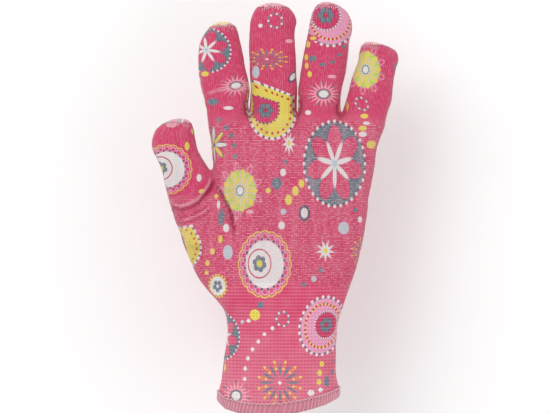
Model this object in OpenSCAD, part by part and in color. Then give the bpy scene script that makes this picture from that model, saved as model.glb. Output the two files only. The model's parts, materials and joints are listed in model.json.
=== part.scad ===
// Seamless knitted garden glove with a coated palm, for a right hand.
// It lies palm down: +Z is the back of the hand, +Y points to the fingertips, the thumb is at -X.
// The origin lies on the flat underside of the palm, in the middle of the hand.

/* [Fabric] */
// Thickness of the knitted shell
knit_t = 1.1; // [0.8:0.05:1.5]
// Thickness of the coating film on the palm side
coat_t = 0.4; // [0.2:0.05:0.6]
// Thickness of the sewn thread at the hem and the fingertips
thread_t = 0.8; // [0.5:0.1:1.2]

/* [Bending lines] */
// Gap between the two halves of a bending line
bend_gap = 0.4; // [0.3:0.1:0.8]
// Most that a finger bends at its root, in degrees
root_bend = 75; // [40:1:80]
// Most that a finger bends at its middle, in degrees
mid_bend = 85; // [40:1:90]
// Most that a finger bends near its tip, in degrees
tip_bend = 40; // [20:1:50]
// Most that the thumb bends at its root, in degrees
thumb_root_bend = 50; // [20:1:55]
// Most that the thumb bends near its tip, in degrees
thumb_tip_bend = 60; // [30:1:70]

/* [Fingers] */
// Distance from the origin to the line where the four fingers bend at their roots
root_line = 51; // [45:1:60]
// Clear gap between two coated fingers that lie side by side
finger_gap = 0.2; // [0.1:0.1:1.5]
// Thickness of the fingers from front to back
finger_t = 19; // [16:0.5:22]
// Length of the rounded end of a fingertip
finger_round = 10; // [8:0.5:11]
// How square a finger's cross-section is (2 is an ellipse)
finger_blunt = 2.3; // [2:0.1:3]
// Centre of the middle finger's root across the hand
middle_x = -1.1; // [-6:0.1:4]

/* [Index finger] */
// Width of the index finger at its root
index_w = 23.8; // [20:0.2:29]
// Width of the index finger near its tip
index_tip_w = 24; // [18:0.2:29]
// Length from the root line to the middle bend
index_root_len = 22; // [19:0.5:27]
// Length from the middle bend to the tip bend
index_mid_len = 16; // [14.5:0.5:20]
// Length from the tip bend to the end of the finger
index_tip_len = 15.3; // [14:0.1:20]
// Lean of the index finger, positive to the thumb side
index_lean = 2.9; // [0:0.1:8]
// Sideways bow of the index finger, negative to the thumb side
index_bow = -1.5; // [-3:0.1:0]

/* [Middle finger] */
// Width of the middle finger at its root
middle_w = 26.6; // [22:0.2:32]
// Width of the middle finger near its tip
middle_tip_w = 25.6; // [20:0.2:32]
// Length from the root line to the middle bend
middle_root_len = 26; // [20:0.5:32]
// Length from the middle bend to the tip bend
middle_mid_len = 19; // [15:0.5:23]
// Length from the tip bend to the end of the finger
middle_tip_len = 18.5; // [14:0.5:23]
// Lean of the middle finger, positive to the thumb side
middle_lean = 0; // [-3:0.1:3]

/* [Ring finger] */
// Width of the ring finger at its root
ring_w = 24.4; // [20:0.2:30]
// Width of the ring finger near its tip
ring_tip_w = 25; // [20:0.2:30]
// Length from the root line to the middle bend
ring_root_len = 26; // [20:0.5:32]
// Length from the middle bend to the tip bend
ring_mid_len = 19; // [15:0.5:23]
// Length from the tip bend to the end of the finger
ring_tip_len = 19.5; // [14:0.5:24]
// Lean of the ring finger, positive to the thumb side
ring_lean = -5.4; // [-8:0.1:-1]

/* [Little finger] */
// Width of the little finger at its root
little_w = 24.6; // [19:0.2:30]
// Width of the little finger near its tip
little_tip_w = 22.4; // [17:0.2:29]
// Thickness of the little finger from front to back
little_t = 17.6; // [15:0.2:22]
// Length from the root line to the middle bend
little_root_len = 17.6; // [16.5:0.1:21]
// Length from the middle bend to the tip bend
little_mid_len = 12.6; // [12:0.1:16]
// Length from the tip bend to the end of the finger
little_tip_len = 12.8; // [11:0.1:16]
// Lean of the little finger, positive to the thumb side
little_lean = -10; // [-14:0.1:-4]
// Most that the little finger bends at its root, in degrees
little_root_bend = 70; // [40:1:75]
// Most that the little finger bends at its middle, in degrees
little_mid_bend = 80; // [40:1:85]
// Most that the little finger bends near its tip, in degrees
little_tip_bend = 35; // [20:1:40]

/* [Thumb] */
// Distance along the hand to the line where the thumb bends at its root
thumb_line = 9; // [6:0.5:14]
// Width of the thumb at its root
thumb_w = 23.6; // [20:0.2:28]
// Width of the thumb near its tip
thumb_tip_w = 24.6; // [20:0.2:29]
// Thickness of the thumb from front to back
thumb_t = 21; // [18:0.5:24]
// Length from the root bend to the tip bend
thumb_root_len = 19; // [17:0.5:24]
// Length from the tip bend to the end of the thumb
thumb_tip_len = 21.8; // [18:0.1:26]
// Lean of the thumb, outward from the hand
thumb_lean = 8.5; // [4:0.5:14]
// Outward bow of the thumb along its length
thumb_bow = -3.5; // [-5:0.1:0]
// Gap between the thumb and the side of the hand
thumb_gap = 1.2; // [1:0.1:3]

/* [Hand] */
// Thickness of the hand at the line of the thumb
palm_t = 30; // [26:0.5:34]
// Distance along the hand to the line where the thumb joins the palm
crotch_line = -2; // [-6:0.5:0]
// Left edge of the four-finger palm at that line
palm_left = -35; // [-38:0.5:-30]
// Right edge of the palm at that line
palm_right = 52; // [47:0.5:58]
// How square the hand's cross-section is (2 is an ellipse)
palm_blunt = 2.8; // [2.4:0.1:3.4]

/* [Cuff] */
// Distance along the hand to the start of the cuff
cuff_start = -46; // [-50:1:-38]
// Distance along the hand to the narrowest place of the cuff
waist_line = -70; // [-76:1:-62]
// Distance along the hand to the end of the cuff
cuff_end = -112; // [-125:1:-95]
// Width of the glove where the cuff starts
cuff_start_w = 80.5; // [70:0.5:92]
// Width of the cuff at its narrowest place
waist_w = 61.5; // [52:0.5:70]
// Width of the cuff at its end
hem_w = 68; // [56:0.5:78]
// Thickness of the cuff from front to back
cuff_t = 36; // [30:0.5:40]
// Middle of the cuff across the hand
cuff_x = 3; // [-2:0.5:8]
// Height of the overlocked band at the end of the cuff
hem_h = 5; // [3:0.5:8]
// Number of elastic yarns laid into the cuff
elastic_count = 8; // [4:1:12]
// Thickness of one elastic yarn
elastic_t = 0.7; // [0.4:0.1:0.9]

/* [Hidden] */

lay_gap = 0.1;       // between pieces that lie against each other
rest_gap = 0.3;      // fingers clear the surface that the palm rests on
finger_sides = 24;   // corners of a finger's cross-section
palm_sides = 32;     // corners of the hand's cross-section
tip_soft = 0.8;      // how fast a fingertip closes, 1 is a half ellipse
palm_flat = 0.8;     // how far the round underside of the palm is pressed flat
gusset_step = 2;     // the gusset's outer edge stands this far inside the thumb's
wrap_count = 6;      // thread wraps that close a fingertip
wrap_pitch = 1.7;    // from one wrap to the next
wrap_len = 2.6;      // length of one wrap

skin_t = lay_gap + coat_t;
finger_z = rest_gap + skin_t + finger_t / 2;
thumb_z = rest_gap + skin_t + thumb_t / 2;

// Half of a coated finger's width, measured along the root line that its lean turns it against.
function root_half(w, lean) = (w / 2 + skin_t) / cos(lean);
index_x = middle_x - root_half(middle_w, middle_lean) - finger_gap - root_half(index_w, index_lean);
ring_x = middle_x + root_half(middle_w, middle_lean) + finger_gap + root_half(ring_w, ring_lean);
little_x = ring_x + root_half(ring_w, ring_lean) + finger_gap + root_half(little_w, little_lean);
thumb_x = palm_left - thumb_gap - thumb_w / 2;

// A finger: place of its root, lean, bow, widths, thickness, lengths, bends, and the angle from
// its root bend to a line across it. The four fingers share one root line, whatever their lean.
ROOT = 0;
LEAN = 1;
BOW = 2;
WIDTHS = 3;
DEPTH = 4;
LENGTHS = 5;
BENDS = 6;
SKEW = 7;
INDEX = [[index_x, root_line, finger_z], index_lean, index_bow, [index_w, index_tip_w], finger_t,
    [index_root_len, index_mid_len, index_tip_len], [root_bend, mid_bend, tip_bend], index_lean];
MIDDLE = [[middle_x, root_line, finger_z], middle_lean, 0, [middle_w, middle_tip_w], finger_t,
    [middle_root_len, middle_mid_len, middle_tip_len], [root_bend, mid_bend, tip_bend], middle_lean];
RING = [[ring_x, root_line, finger_z], ring_lean, 0, [ring_w, ring_tip_w], finger_t,
    [ring_root_len, ring_mid_len, ring_tip_len], [root_bend, mid_bend, tip_bend], ring_lean];
LITTLE = [[little_x, root_line, finger_z], little_lean, 0, [little_w, little_tip_w], little_t,
    [little_root_len, little_mid_len, little_tip_len],
    [little_root_bend, little_mid_bend, little_tip_bend], little_lean];
THUMB = [[thumb_x, thumb_line, thumb_z], thumb_lean, thumb_bow, [thumb_w, thumb_tip_w], thumb_t,
    [thumb_root_len, thumb_tip_len], [thumb_root_bend, thumb_tip_bend], 0];

all_round = [for (i = [0:finger_sides - 1]) 360 * i / finger_sides];
palm_side = [for (i = [0:finger_sides / 2]) 180 + 360 * i / finger_sides];
hand_round = [for (i = [0:palm_sides - 1]) 360 * i / palm_sides];
hand_palm_side = [for (i = [0:palm_sides / 2]) 180 + 360 * i / palm_sides];

function mix(a, b, u) = a + (b - a) * u;
function ease(u) = (1 - cos(180 * u)) / 2;
function total(list, count) = count == 0 ? 0 : list[count - 1] + total(list, count - 1);
function flip(list) = [for (i = [len(list) - 1:-1:0]) list[i]];

// A point of a squared ellipse of unit half-sizes.
function squared(v, blunt) = sign(v) * pow(abs(v), 2 / blunt);

// --- solids from rings of points ---

// Triangles between neighbouring rings of n points; the last ring joins the first when looped.
function side_faces(n, m, loop) = [
    for (i = [0:(loop ? m : m - 1) - 1], j = [0:n - 1])
        let (a = i * n + j, b = i * n + (j + 1) % n,
             c = ((i + 1) % m) * n + (j + 1) % n, d = ((i + 1) % m) * n + j)
        each [[a, b, c], [a, c, d]]
];

// A tube with walls: the rings go out along the outside and come back along the inside.
module walled_tube(outside, inside) {
    rings = concat(outside, flip(inside));
    polyhedron(points = [for (r = rings) each r],
        faces = side_faces(len(rings[0]), len(rings), true));
}

// A closed cup: from the middle of its inside, over the rim, to the middle of its outside.
module walled_cup(outside, inside) {
    rings = concat(flip(inside), outside);
    n = len(rings[0]);
    m = len(rings);
    ends = [[for (j = [n - 1:-1:0]) j], [for (j = [0:n - 1]) (m - 1) * n + j]];
    polyhedron(points = [for (r = rings) each r], faces = concat(side_faces(n, m, false), ends));
}

// Faces of a film of n points a section. Its inner half is split along the same diagonals as the
// tube that it lies on, so the two surfaces stay apart.
function film_faces(n, m) = [
    for (i = [0:m - 2], j = [0:n - 1])
        let (a = i * n + j, b = i * n + (j + 1) % n,
             c = (i + 1) * n + (j + 1) % n, d = (i + 1) * n + j)
        each j < n / 2 ? [[a, b, c], [a, c, d]] : [[a, b, d], [b, c, d]]
];

// A film that follows part of a tube: each section is an outer arc and an inner arc.
module film(outside, inside) {
    rings = [for (i = [0:len(outside) - 1]) concat(outside[i], flip(inside[i]))];
    n = len(rings[0]);
    m = len(rings);
    k = n / 2;
    ends = [for (j = [0:k - 2]) each [[n - 1 - j, n - 2 - j, j + 1, j],
        [for (v = [j, j + 1, n - 2 - j, n - 1 - j]) (m - 1) * n + v]]];
    polyhedron(points = [for (r = rings) each r], faces = concat(film_faces(n, m), ends));
}

// --- fingers, in their own frame: +Y along the finger, origin on the root bend ---

function finger_length(f) = total(f[LENGTHS], len(f[LENGTHS]));
function bow_at(f, s) = f[BOW] * sin(180 * s / finger_length(f));
function width_at(f, s) = mix(f[WIDTHS][0], f[WIDTHS][1], s / finger_length(f));

// One ring of a finger. Between two bends the palm side is cut back, so that it can fold.
function finger_ring(f, part, u, dome, off, angles) =
    let (last = part == len(f[LENGTHS]) - 1,
         from = total(f[LENGTHS], part),
         to = last ? finger_length(f) - finger_round : total(f[LENGTHS], part + 1),
         cut_from = tan(f[BENDS][part] / 2),
         skew = part == 0 ? tan(f[SKEW]) : 0,
         cut_to = last ? 0 : tan(f[BENDS][part + 1] / 2),
         gap_to = last ? 0 : bend_gap / 2,
         close = pow(cos(dome), tip_soft),
         half_w = (width_at(f, mix(from, to, u)) / 2 + off) * close,
         half_t = (f[DEPTH] / 2 + off) * close,
         beyond = (finger_round + off) * sin(dome),
         side = bow_at(f, mix(from, to, u) + beyond))
    [for (a = angles)
        let (x = side + half_w * squared(cos(a), finger_blunt),
             z = half_t * squared(sin(a), finger_blunt),
             fold = max(0, -z),
             start = from + bend_gap / 2 + fold * cut_from - x * skew,
             end = to - gap_to - fold * cut_to)
        [x, mix(start, end, u) + beyond, z]];

// The stations of a finger part as [share of its length, degrees round the tip].
function stations(f, part) = part < len(f[LENGTHS]) - 1
    ? [[0, 0], [0.5, 0], [1, 0]]
    : [[0, 0], [1, 0], [1, 22], [1, 42], [1, 60], [1, 74], [1, 84]];

function finger_rings(f, part, off, angles) =
    [for (p = stations(f, part)) finger_ring(f, part, p[0], p[1], off, angles)];

module at_root(f) {
    translate(f[ROOT]) rotate([0, 0, f[LEAN]]) children();
}

module finger_knit(f, part) {
    outside = finger_rings(f, part, 0, all_round);
    inside = finger_rings(f, part, -knit_t, all_round);
    color("palevioletred") at_root(f)
        if (part == len(f[LENGTHS]) - 1) walled_cup(outside, inside);
        else walled_tube(outside, inside);
}

module finger_coating(f, part) {
    color("mistyrose") at_root(f)
        film(finger_rings(f, part, skin_t, palm_side), finger_rings(f, part, lay_gap, palm_side));
}

// How far a fingertip reaches at a distance from its middle.
function tip_reach(f, side) =
    let (s = finger_length(f) - finger_round)
    s + finger_round * sin(acos(pow(abs(side) / (width_at(f, s) / 2), 1 / tip_soft)));

// The thread that closes the end of a finger: a short row of wraps, sewn through the knit just
// above the coating.
module tip_stitch(f) {
    color("white") at_root(f)
        for (i = [0:wrap_count - 1])
            let (side = (i - (wrap_count - 1) / 2) * wrap_pitch)
            translate([side, tip_reach(f, side) + thread_t / 4, thread_t + wrap_len / 2])
                rotate([0, 18, 0]) cylinder(h = wrap_len, d = thread_t, center = true, $fn = 16);
}

// --- the hand and the cuff, in the glove's frame ---

palm_steps = [0, 0.25, 0.5, 0.75, 1];
cuff_z = lay_gap + thread_t + cuff_t / 2;
palm_z = palm_t / 2 - palm_flat;
hand_left = thumb_x - thumb_w / 2 + gusset_step;
root_left = index_x - index_w / 2;
root_right = little_x + little_w / 2;

// One ring of the hand from its edges, its middle height and its thickness.
// Nothing goes below the flat underside that the palm rests on.
function hand_ring(y, left, right, mid_z, depth, off, angles, fold_cut = 0) =
    let (half_w = (right - left) / 2 + off, half_t = depth / 2 + off)
    [for (a = angles)
        let (x = (left + right) / 2 + half_w * squared(cos(a), palm_blunt),
             z = max(skin_t - off, mid_z + half_t * squared(sin(a), palm_blunt)))
        [x, y - max(0, mid_z - z) * fold_cut, z]];

// Four-finger palm: from the line of the thumb to the roots of the fingers.
function four_finger_ring(u, off, angles) = hand_ring(
    mix(crotch_line + lay_gap, root_line - bend_gap / 2, u),
    mix(palm_left, root_left, pow(u, 2)), mix(palm_right, root_right, pow(u, 1.3)),
    mix(palm_z, finger_z, ease(u)), mix(palm_t, finger_t, ease(u)),
    off, angles, u == 1 ? tan(max(root_bend, little_root_bend) / 2) : 0);

// Five-finger palm: from the cuff to the line of the thumb.
function five_finger_ring(u, off, angles) = hand_ring(
    mix(cuff_start + lay_gap, crotch_line, u),
    mix(cuff_x - cuff_start_w / 2, hand_left, sin(90 * u)),
    mix(cuff_x + cuff_start_w / 2, palm_right, sin(90 * u)),
    mix(cuff_z, palm_z, ease(u)), mix(cuff_t, palm_t, ease(u)), off, angles);

// Cuff: from the palm through the waist to the end. It lies clear of the surface.
// Its width is straight from one step to the next, so the threads on it follow its faces.
hem_line = cuff_end + hem_h;
cuff_steps = concat([cuff_end], [for (i = [0:4]) mix(hem_line, waist_line, i / 4)],
    [for (i = [1:10]) mix(waist_line, cuff_start, i / 10)]);
function eased_width(y) = y < waist_line
    ? mix(hem_w, waist_w, ease((y - cuff_end) / (waist_line - cuff_end)))
    : mix(waist_w, cuff_start_w, ease((y - waist_line) / (cuff_start - waist_line)));
cuff_widths = [for (y = cuff_steps) [y, eased_width(y)]];
function cuff_ring(y, off) =
    let (width = lookup(y, cuff_widths))
    hand_ring(y, cuff_x - width / 2, cuff_x + width / 2, cuff_z, cuff_t, off, hand_round);

module four_finger_palm_knit() {
    color("palevioletred") walled_tube(
        [for (u = palm_steps) four_finger_ring(u, 0, hand_round)],
        [for (u = palm_steps) four_finger_ring(u, -knit_t, hand_round)]);
}

module four_finger_palm_coating() {
    color("mistyrose") film(
        [for (u = palm_steps) four_finger_ring(u, skin_t, hand_palm_side)],
        [for (u = palm_steps) four_finger_ring(u, lay_gap, hand_palm_side)]);
}

module five_finger_palm_knit() {
    color("palevioletred") walled_tube(
        [for (u = palm_steps) five_finger_ring(u, 0, hand_round)],
        [for (u = palm_steps) five_finger_ring(u, -knit_t, hand_round)]);
}

module five_finger_palm_coating() {
    color("mistyrose") film(
        [for (u = palm_steps) five_finger_ring(u, skin_t, hand_palm_side)],
        [for (u = palm_steps) five_finger_ring(u, lay_gap, hand_palm_side)]);
}

module cuff_knit() {
    color("hotpink") walled_tube(
        [for (y = cuff_steps) cuff_ring(y, 0)],
        [for (y = cuff_steps) cuff_ring(y, -knit_t)]);
}

// The overlocked thread wraps the end of the cuff, outside and inside.
module hem_overlock() {
    far = cuff_end - lay_gap - thread_t;
    end = cuff_end - lay_gap;
    rings = [cuff_ring(hem_line, lay_gap), cuff_ring(end, lay_gap),
        cuff_ring(end, -knit_t - lay_gap), cuff_ring(hem_line, -knit_t - lay_gap),
        cuff_ring(hem_line, -knit_t - lay_gap - thread_t),
        cuff_ring(far, -knit_t - lay_gap - thread_t),
        cuff_ring(far, lay_gap + thread_t), cuff_ring(hem_line, lay_gap + thread_t)];
    color("mistyrose") polyhedron(points = [for (r = rings) each r],
        faces = side_faces(palm_sides, len(rings), true));
}

// Elastic yarns run round inside the cuff, bonded to the knit.
module cuff_elastic() {
    start = hem_line + 6;
    step = (cuff_start - 6 - start) / (elastic_count - 1);
    color("white") for (i = [0:elastic_count - 1]) {
        y = start + i * step;
        inset = knit_t + lay_gap;
        rings = [cuff_ring(y, -inset), cuff_ring(y + elastic_t / 2, -inset - elastic_t / 2),
            cuff_ring(y, -inset - elastic_t), cuff_ring(y - elastic_t / 2, -inset - elastic_t / 2)];
        polyhedron(points = [for (r = rings) each r], faces = side_faces(palm_sides, len(rings), true));
    }
}

// --- the thumb's gusset, between the five-finger palm and the thumb's root bend ---

function turned(p, f) = [
    f[ROOT][0] + p[0] * cos(f[LEAN]) - p[1] * sin(f[LEAN]),
    f[ROOT][1] + p[0] * sin(f[LEAN]) + p[1] * cos(f[LEAN]),
    f[ROOT][2] + p[2]];

// The ring that faces the thumb's root bend, and the ring that stands on the five-finger palm.
function gusset_top(off, angles) = [for (a = angles)
    let (x = (thumb_w / 2 + off) * squared(cos(a), finger_blunt),
         z = (thumb_t / 2 + off) * squared(sin(a), finger_blunt))
    turned([x, -bend_gap / 2 - max(0, -z) * tan(thumb_root_bend / 2), z], THUMB)];
function gusset_foot(off, angles) =
    let (mid_x = (hand_left + palm_left - thumb_gap) / 2, half_w = (palm_left - thumb_gap - hand_left) / 2)
    [for (a = angles) [
        mid_x + (half_w + off) * squared(cos(a), finger_blunt),
        crotch_line + lay_gap,
        thumb_z + (thumb_t / 2 + off) * squared(sin(a), finger_blunt)]];

module thumb_gusset_knit() {
    color("palevioletred") walled_tube(
        [gusset_foot(0, all_round), gusset_top(0, all_round)],
        [gusset_foot(-knit_t, all_round), gusset_top(-knit_t, all_round)]);
}

module thumb_gusset_coating() {
    color("mistyrose") film(
        [gusset_foot(skin_t, palm_side), gusset_top(skin_t, palm_side)],
        [gusset_foot(lay_gap, palm_side), gusset_top(lay_gap, palm_side)]);
}

finger_knit(INDEX, 0);  // index_root_knit
finger_knit(INDEX, 1);  // index_mid_knit
finger_knit(INDEX, 2);  // index_tip_knit
finger_knit(MIDDLE, 0);  // middle_root_knit
finger_knit(MIDDLE, 1);  // middle_mid_knit
finger_knit(MIDDLE, 2);  // middle_tip_knit
finger_knit(RING, 0);  // ring_root_knit
finger_knit(RING, 1);  // ring_mid_knit
finger_knit(RING, 2);  // ring_tip_knit
finger_knit(LITTLE, 0);  // little_root_knit
finger_knit(LITTLE, 1);  // little_mid_knit
finger_knit(LITTLE, 2);  // little_tip_knit
thumb_gusset_knit();
finger_knit(THUMB, 0);  // thumb_root_knit
finger_knit(THUMB, 1);  // thumb_tip_knit
four_finger_palm_knit();
five_finger_palm_knit();
cuff_knit();
finger_coating(INDEX, 0);  // index_root_coating
finger_coating(INDEX, 1);  // index_mid_coating
finger_coating(INDEX, 2);  // index_tip_coating
finger_coating(MIDDLE, 0);  // middle_root_coating
finger_coating(MIDDLE, 1);  // middle_mid_coating
finger_coating(MIDDLE, 2);  // middle_tip_coating
finger_coating(RING, 0);  // ring_root_coating
finger_coating(RING, 1);  // ring_mid_coating
finger_coating(RING, 2);  // ring_tip_coating
finger_coating(LITTLE, 0);  // little_root_coating
finger_coating(LITTLE, 1);  // little_mid_coating
finger_coating(LITTLE, 2);  // little_tip_coating
thumb_gusset_coating();
finger_coating(THUMB, 0);  // thumb_root_coating
finger_coating(THUMB, 1);  // thumb_tip_coating
four_finger_palm_coating();
five_finger_palm_coating();
tip_stitch(INDEX);  // index_tip_stitch
tip_stitch(MIDDLE);  // middle_tip_stitch
tip_stitch(RING);  // ring_tip_stitch
tip_stitch(LITTLE);  // little_tip_stitch
tip_stitch(THUMB);  // thumb_tip_stitch
cuff_elastic();
hem_overlock();
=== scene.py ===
"""A right-hand knitted garden glove with a flower print and a coated palm, seen from above.

Sizes are in millimetres until a mesh is made. X runs to the little finger, Y to the fingertips
and Z out of the back of the hand. Joints, fingertips and the hem come from the frame.
"""

import json
import math

import bmesh
import bpy
import numpy as np
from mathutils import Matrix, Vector, noise
from mathutils.bvhtree import BVHTree

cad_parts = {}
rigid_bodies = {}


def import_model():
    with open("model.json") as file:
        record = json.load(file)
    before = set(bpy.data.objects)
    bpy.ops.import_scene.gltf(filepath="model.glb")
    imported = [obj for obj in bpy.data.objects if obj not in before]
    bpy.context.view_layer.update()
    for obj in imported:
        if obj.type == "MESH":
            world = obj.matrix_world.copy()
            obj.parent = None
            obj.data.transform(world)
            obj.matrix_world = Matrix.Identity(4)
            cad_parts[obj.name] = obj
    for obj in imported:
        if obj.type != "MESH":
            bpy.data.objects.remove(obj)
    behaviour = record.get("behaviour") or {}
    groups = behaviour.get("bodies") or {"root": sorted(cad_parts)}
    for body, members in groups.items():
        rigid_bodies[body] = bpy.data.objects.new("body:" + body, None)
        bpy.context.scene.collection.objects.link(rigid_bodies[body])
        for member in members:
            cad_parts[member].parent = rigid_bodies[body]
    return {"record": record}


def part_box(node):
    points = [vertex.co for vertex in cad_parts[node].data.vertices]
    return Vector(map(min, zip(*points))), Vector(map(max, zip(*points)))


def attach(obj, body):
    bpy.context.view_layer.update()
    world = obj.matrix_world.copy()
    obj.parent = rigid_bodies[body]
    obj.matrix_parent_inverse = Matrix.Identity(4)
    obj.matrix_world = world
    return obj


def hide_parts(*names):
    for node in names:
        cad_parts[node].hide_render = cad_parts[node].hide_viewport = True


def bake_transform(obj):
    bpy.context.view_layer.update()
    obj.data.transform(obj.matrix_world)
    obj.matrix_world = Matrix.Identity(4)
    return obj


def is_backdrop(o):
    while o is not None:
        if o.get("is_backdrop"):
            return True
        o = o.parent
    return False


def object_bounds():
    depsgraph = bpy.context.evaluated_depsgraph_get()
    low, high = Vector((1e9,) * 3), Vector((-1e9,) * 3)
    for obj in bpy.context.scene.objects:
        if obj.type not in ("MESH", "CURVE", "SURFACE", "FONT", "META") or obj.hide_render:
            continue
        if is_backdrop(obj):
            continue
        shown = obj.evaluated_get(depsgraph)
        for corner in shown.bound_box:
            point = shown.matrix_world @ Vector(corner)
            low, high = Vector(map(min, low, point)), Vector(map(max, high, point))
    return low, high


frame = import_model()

MM = 0.001
start_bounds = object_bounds()

# ------------------------------------------------------------------ sizes

KNIT_T = 1.1              # thickness of the knitted shell
COAT_T = 0.35             # how far the coating stands off the knit
VOXEL = 1.1               # size of the mesh's faces
FINGER_BLUNT = 2.25       # how square the fingers' sections are: 2 is an ellipse
HAND_BLUNT = 2.5          # and the hand's
SPREAD = 4.0              # how far neighbouring fingers are held apart while the skin is joined
SPREAD_FROM = 44.0        # the fingers start to part here
SPREAD_TO = 56.0          # and are fully apart here
THUMB_EDGE = -45.2        # left of this, below THUMB_TOP, the skin is the thumb's
THUMB_TOP = 51.5
HAND_COURSE = 0.95        # from one row of stitches to the next, on the hand
HAND_WALE = 1.3           # from one column of stitches to the next, on the hand
FINGER_WALE = 1.0         # on the fingers
CUFF_PITCH = 1.9          # from one eyelet of the cuff to the next
OVERLOCK_STITCHES = 88    # slanted wraps round the hem
OVERLOCK_R = 0.21         # radius of their thread
CHAIN_POINTS = 416        # four to each loop of the chain above them
CHAIN_R = 0.32
ELASTIC_YARNS = 8
ELASTIC_R = 0.36
TIP_STITCHES = 11         # wraps that close each finger
TIP_STITCH_R = 0.22
WORLD_LIGHT = 0.72
KEY_LIGHT = 7.4
FILL_LIGHT = 2.6
FLOOR_Z = -66.0           # just below the longest finger when it is bent at its root
VIEW_ACROSS = 310.2       # width of the picture at the glove
VIEW_HEIGHT = 12.0        # the height at which it is measured
LENS = 200                # a long lens, so the glove has almost no perspective

# Outline of each tube in the top view: distance along the glove, left edge, right edge.
INDEX = [
    (38, -36.6, -14.0), (54, -38.8, -14.9), (60, -39.8, -15.0), (66, -41.2, -14.0), (72, -42.6, -15.2),
    (78, -43.2, -16.8), (83, -43.1, -17.3), (88, -42.9, -18.2), (94, -41.9, -19.4), (99, -38.8, -20.8),
    (102, -36.0, -22.6), (104.2, -32.0, -27.0),
]
MIDDLE = [
    (38, -13.5, 12.0), (54, -14.6, 12.4), (66, -13.6, 12.6), (77, -14.3, 12.1), (88, -14.9, 11.7),
    (99, -14.5, 11.4), (105, -13.8, 12.4), (110.5, -12.0, 10.0), (113, -9.8, 6.8), (114.8, -5.0, 1.5),
]
RING = [
    (38, 12.5, 34.0), (54, 12.9, 36.8), (66, 13.1, 37.4), (77, 14.5, 40.3), (88, 16.2, 41.6),
    (94, 17.3, 42.1), (99, 18.4, 44.0), (105, 19.6, 43.6), (110.6, 20.8, 40.4), (114, 23.6, 34.4),
    (115.4, 27.0, 30.5),
]
LITTLE = [
    (36, 36.0, 58.8), (48, 37.0, 62.4), (54, 38.2, 64.1), (60, 39.9, 65.8), (66, 42.0, 66.6),
    (71, 42.8, 66.9), (77, 44.9, 68.2), (82, 46.9, 69.8), (86, 47.2, 69.6), (89, 47.6, 66.8),
    (91.6, 49.2, 60.5), (93, 51.0, 55.0),
]
THUMB = [
    (-22, -50.6, -35.0), (-15, -53.2, -35.0), (-8, -56.1, -35.0), (-2, -57.8, -35.0),
    (3.4, -59.7, -34.6), (9, -61.1, -34.4), (14.7, -62.6, -34.6), (20, -63.5, -36.4),
    (26, -66.0, -40.4), (31.6, -69.1, -43.7), (37, -69.7, -44.8), (42.9, -67.9, -45.4),
    (46, -64.4, -46.5), (48.4, -59.5, -48.8), (49.4, -56.5, -51.5),
]
HAND = [
    (-112, -32.2, 36.0), (-104, -31.4, 35.5), (-98, -30.3, 34.6), (-92, -29.4, 33.9),
    (-86, -28.9, 34.0), (-76, -27.5, 34.4), (-70, -26.9, 34.8), (-64, -26.8, 35.4),
    (-58.7, -28.2, 37.2), (-53, -32.2, 39.3), (-47.4, -38.0, 41.3), (-41.7, -42.0, 43.2),
    (-36, -45.2, 44.9), (-30.5, -47.8, 46.6), (-24.8, -50.3, 48.0), (-19, -52.6, 49.4),
    (-13.5, -53.6, 50.6), (-8, -52.0, 51.6), (-2.3, -47.0, 52.0), (4, -41.0, 52.5), (10, -36.4, 54.0),
    (20, -34.7, 55.8), (31.6, -35.7, 57.4), (43, -36.9, 60.6), (50, -38.0, 62.6), (53.5, -37.0, 61.5),
]
FINGERS = {"index": INDEX, "middle": MIDDLE, "ring": RING, "little": LITTLE}
OUTLINES = {**FINGERS, "thumb": THUMB}
PUSH = {"index": -1.5 * SPREAD, "middle": -0.5 * SPREAD, "ring": 0.5 * SPREAD, "little": 1.5 * SPREAD}

# ------------------------------------------------------------------ places from the frame


def joint(name):
    return [j for j in frame["record"]["behaviour"]["joints"] if j["name"] == name][0]


def hinge(name):
    """A joint's place in the frame, in millimetres."""
    return np.array(joint(name)["pos_m"]) / MM


def hinge_axis(name):
    return np.array(joint(name)["axis"], float)


def node_box(name):
    low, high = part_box(name)
    return np.array(low) / MM, np.array(high) / MM


def height_of(name):
    """Middle height and half thickness of a CAD node."""
    low, high = node_box(name)
    return (high[2] + low[2]) / 2, (high[2] - low[2]) / 2


FINGER_Z = hinge("middle_root_bend")[2]
THUMB_Z = hinge("thumb_root_bend")[2]
ROOT_LINE = hinge("middle_root_bend")[1]
FINGER_HALF = height_of("middle_mid_knit")[1]
LITTLE_HALF = height_of("little_mid_knit")[1]
THUMB_HALF = height_of("thumb_root_knit")[1]
PALM_Z, PALM_HALF = height_of("four_finger_palm_knit")
CUFF_Z, CUFF_HALF = height_of("cuff_knit")
CROTCH_LINE = node_box("four_finger_palm_knit")[0][1]
HEM, CUFF_START = [corner[1] for corner in node_box("cuff_knit")]


def smooth(u):
    u = np.clip(u, 0, 1)
    return u * u * (3 - 2 * u)


def hand_height(y):
    """Middle height and half thickness of the hand at a distance along it."""
    up = smooth((y - CROTCH_LINE) / (ROOT_LINE - CROTCH_LINE))
    down = smooth((CROTCH_LINE - y) / (CROTCH_LINE - CUFF_START))
    mid = PALM_Z + (FINGER_Z - PALM_Z) * up + (CUFF_Z - PALM_Z) * down
    half = PALM_HALF + (FINGER_HALF - PALM_HALF) * up + (CUFF_HALF - PALM_HALF) * down
    return mid, half


# ------------------------------------------------------------------ the skin


def outline_at(outline, y):
    """Left and right edge of an outline at a distance along the glove."""
    ys, left, right = np.array(outline, float).T
    return np.interp(y, ys, left), np.interp(y, ys, right)


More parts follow.
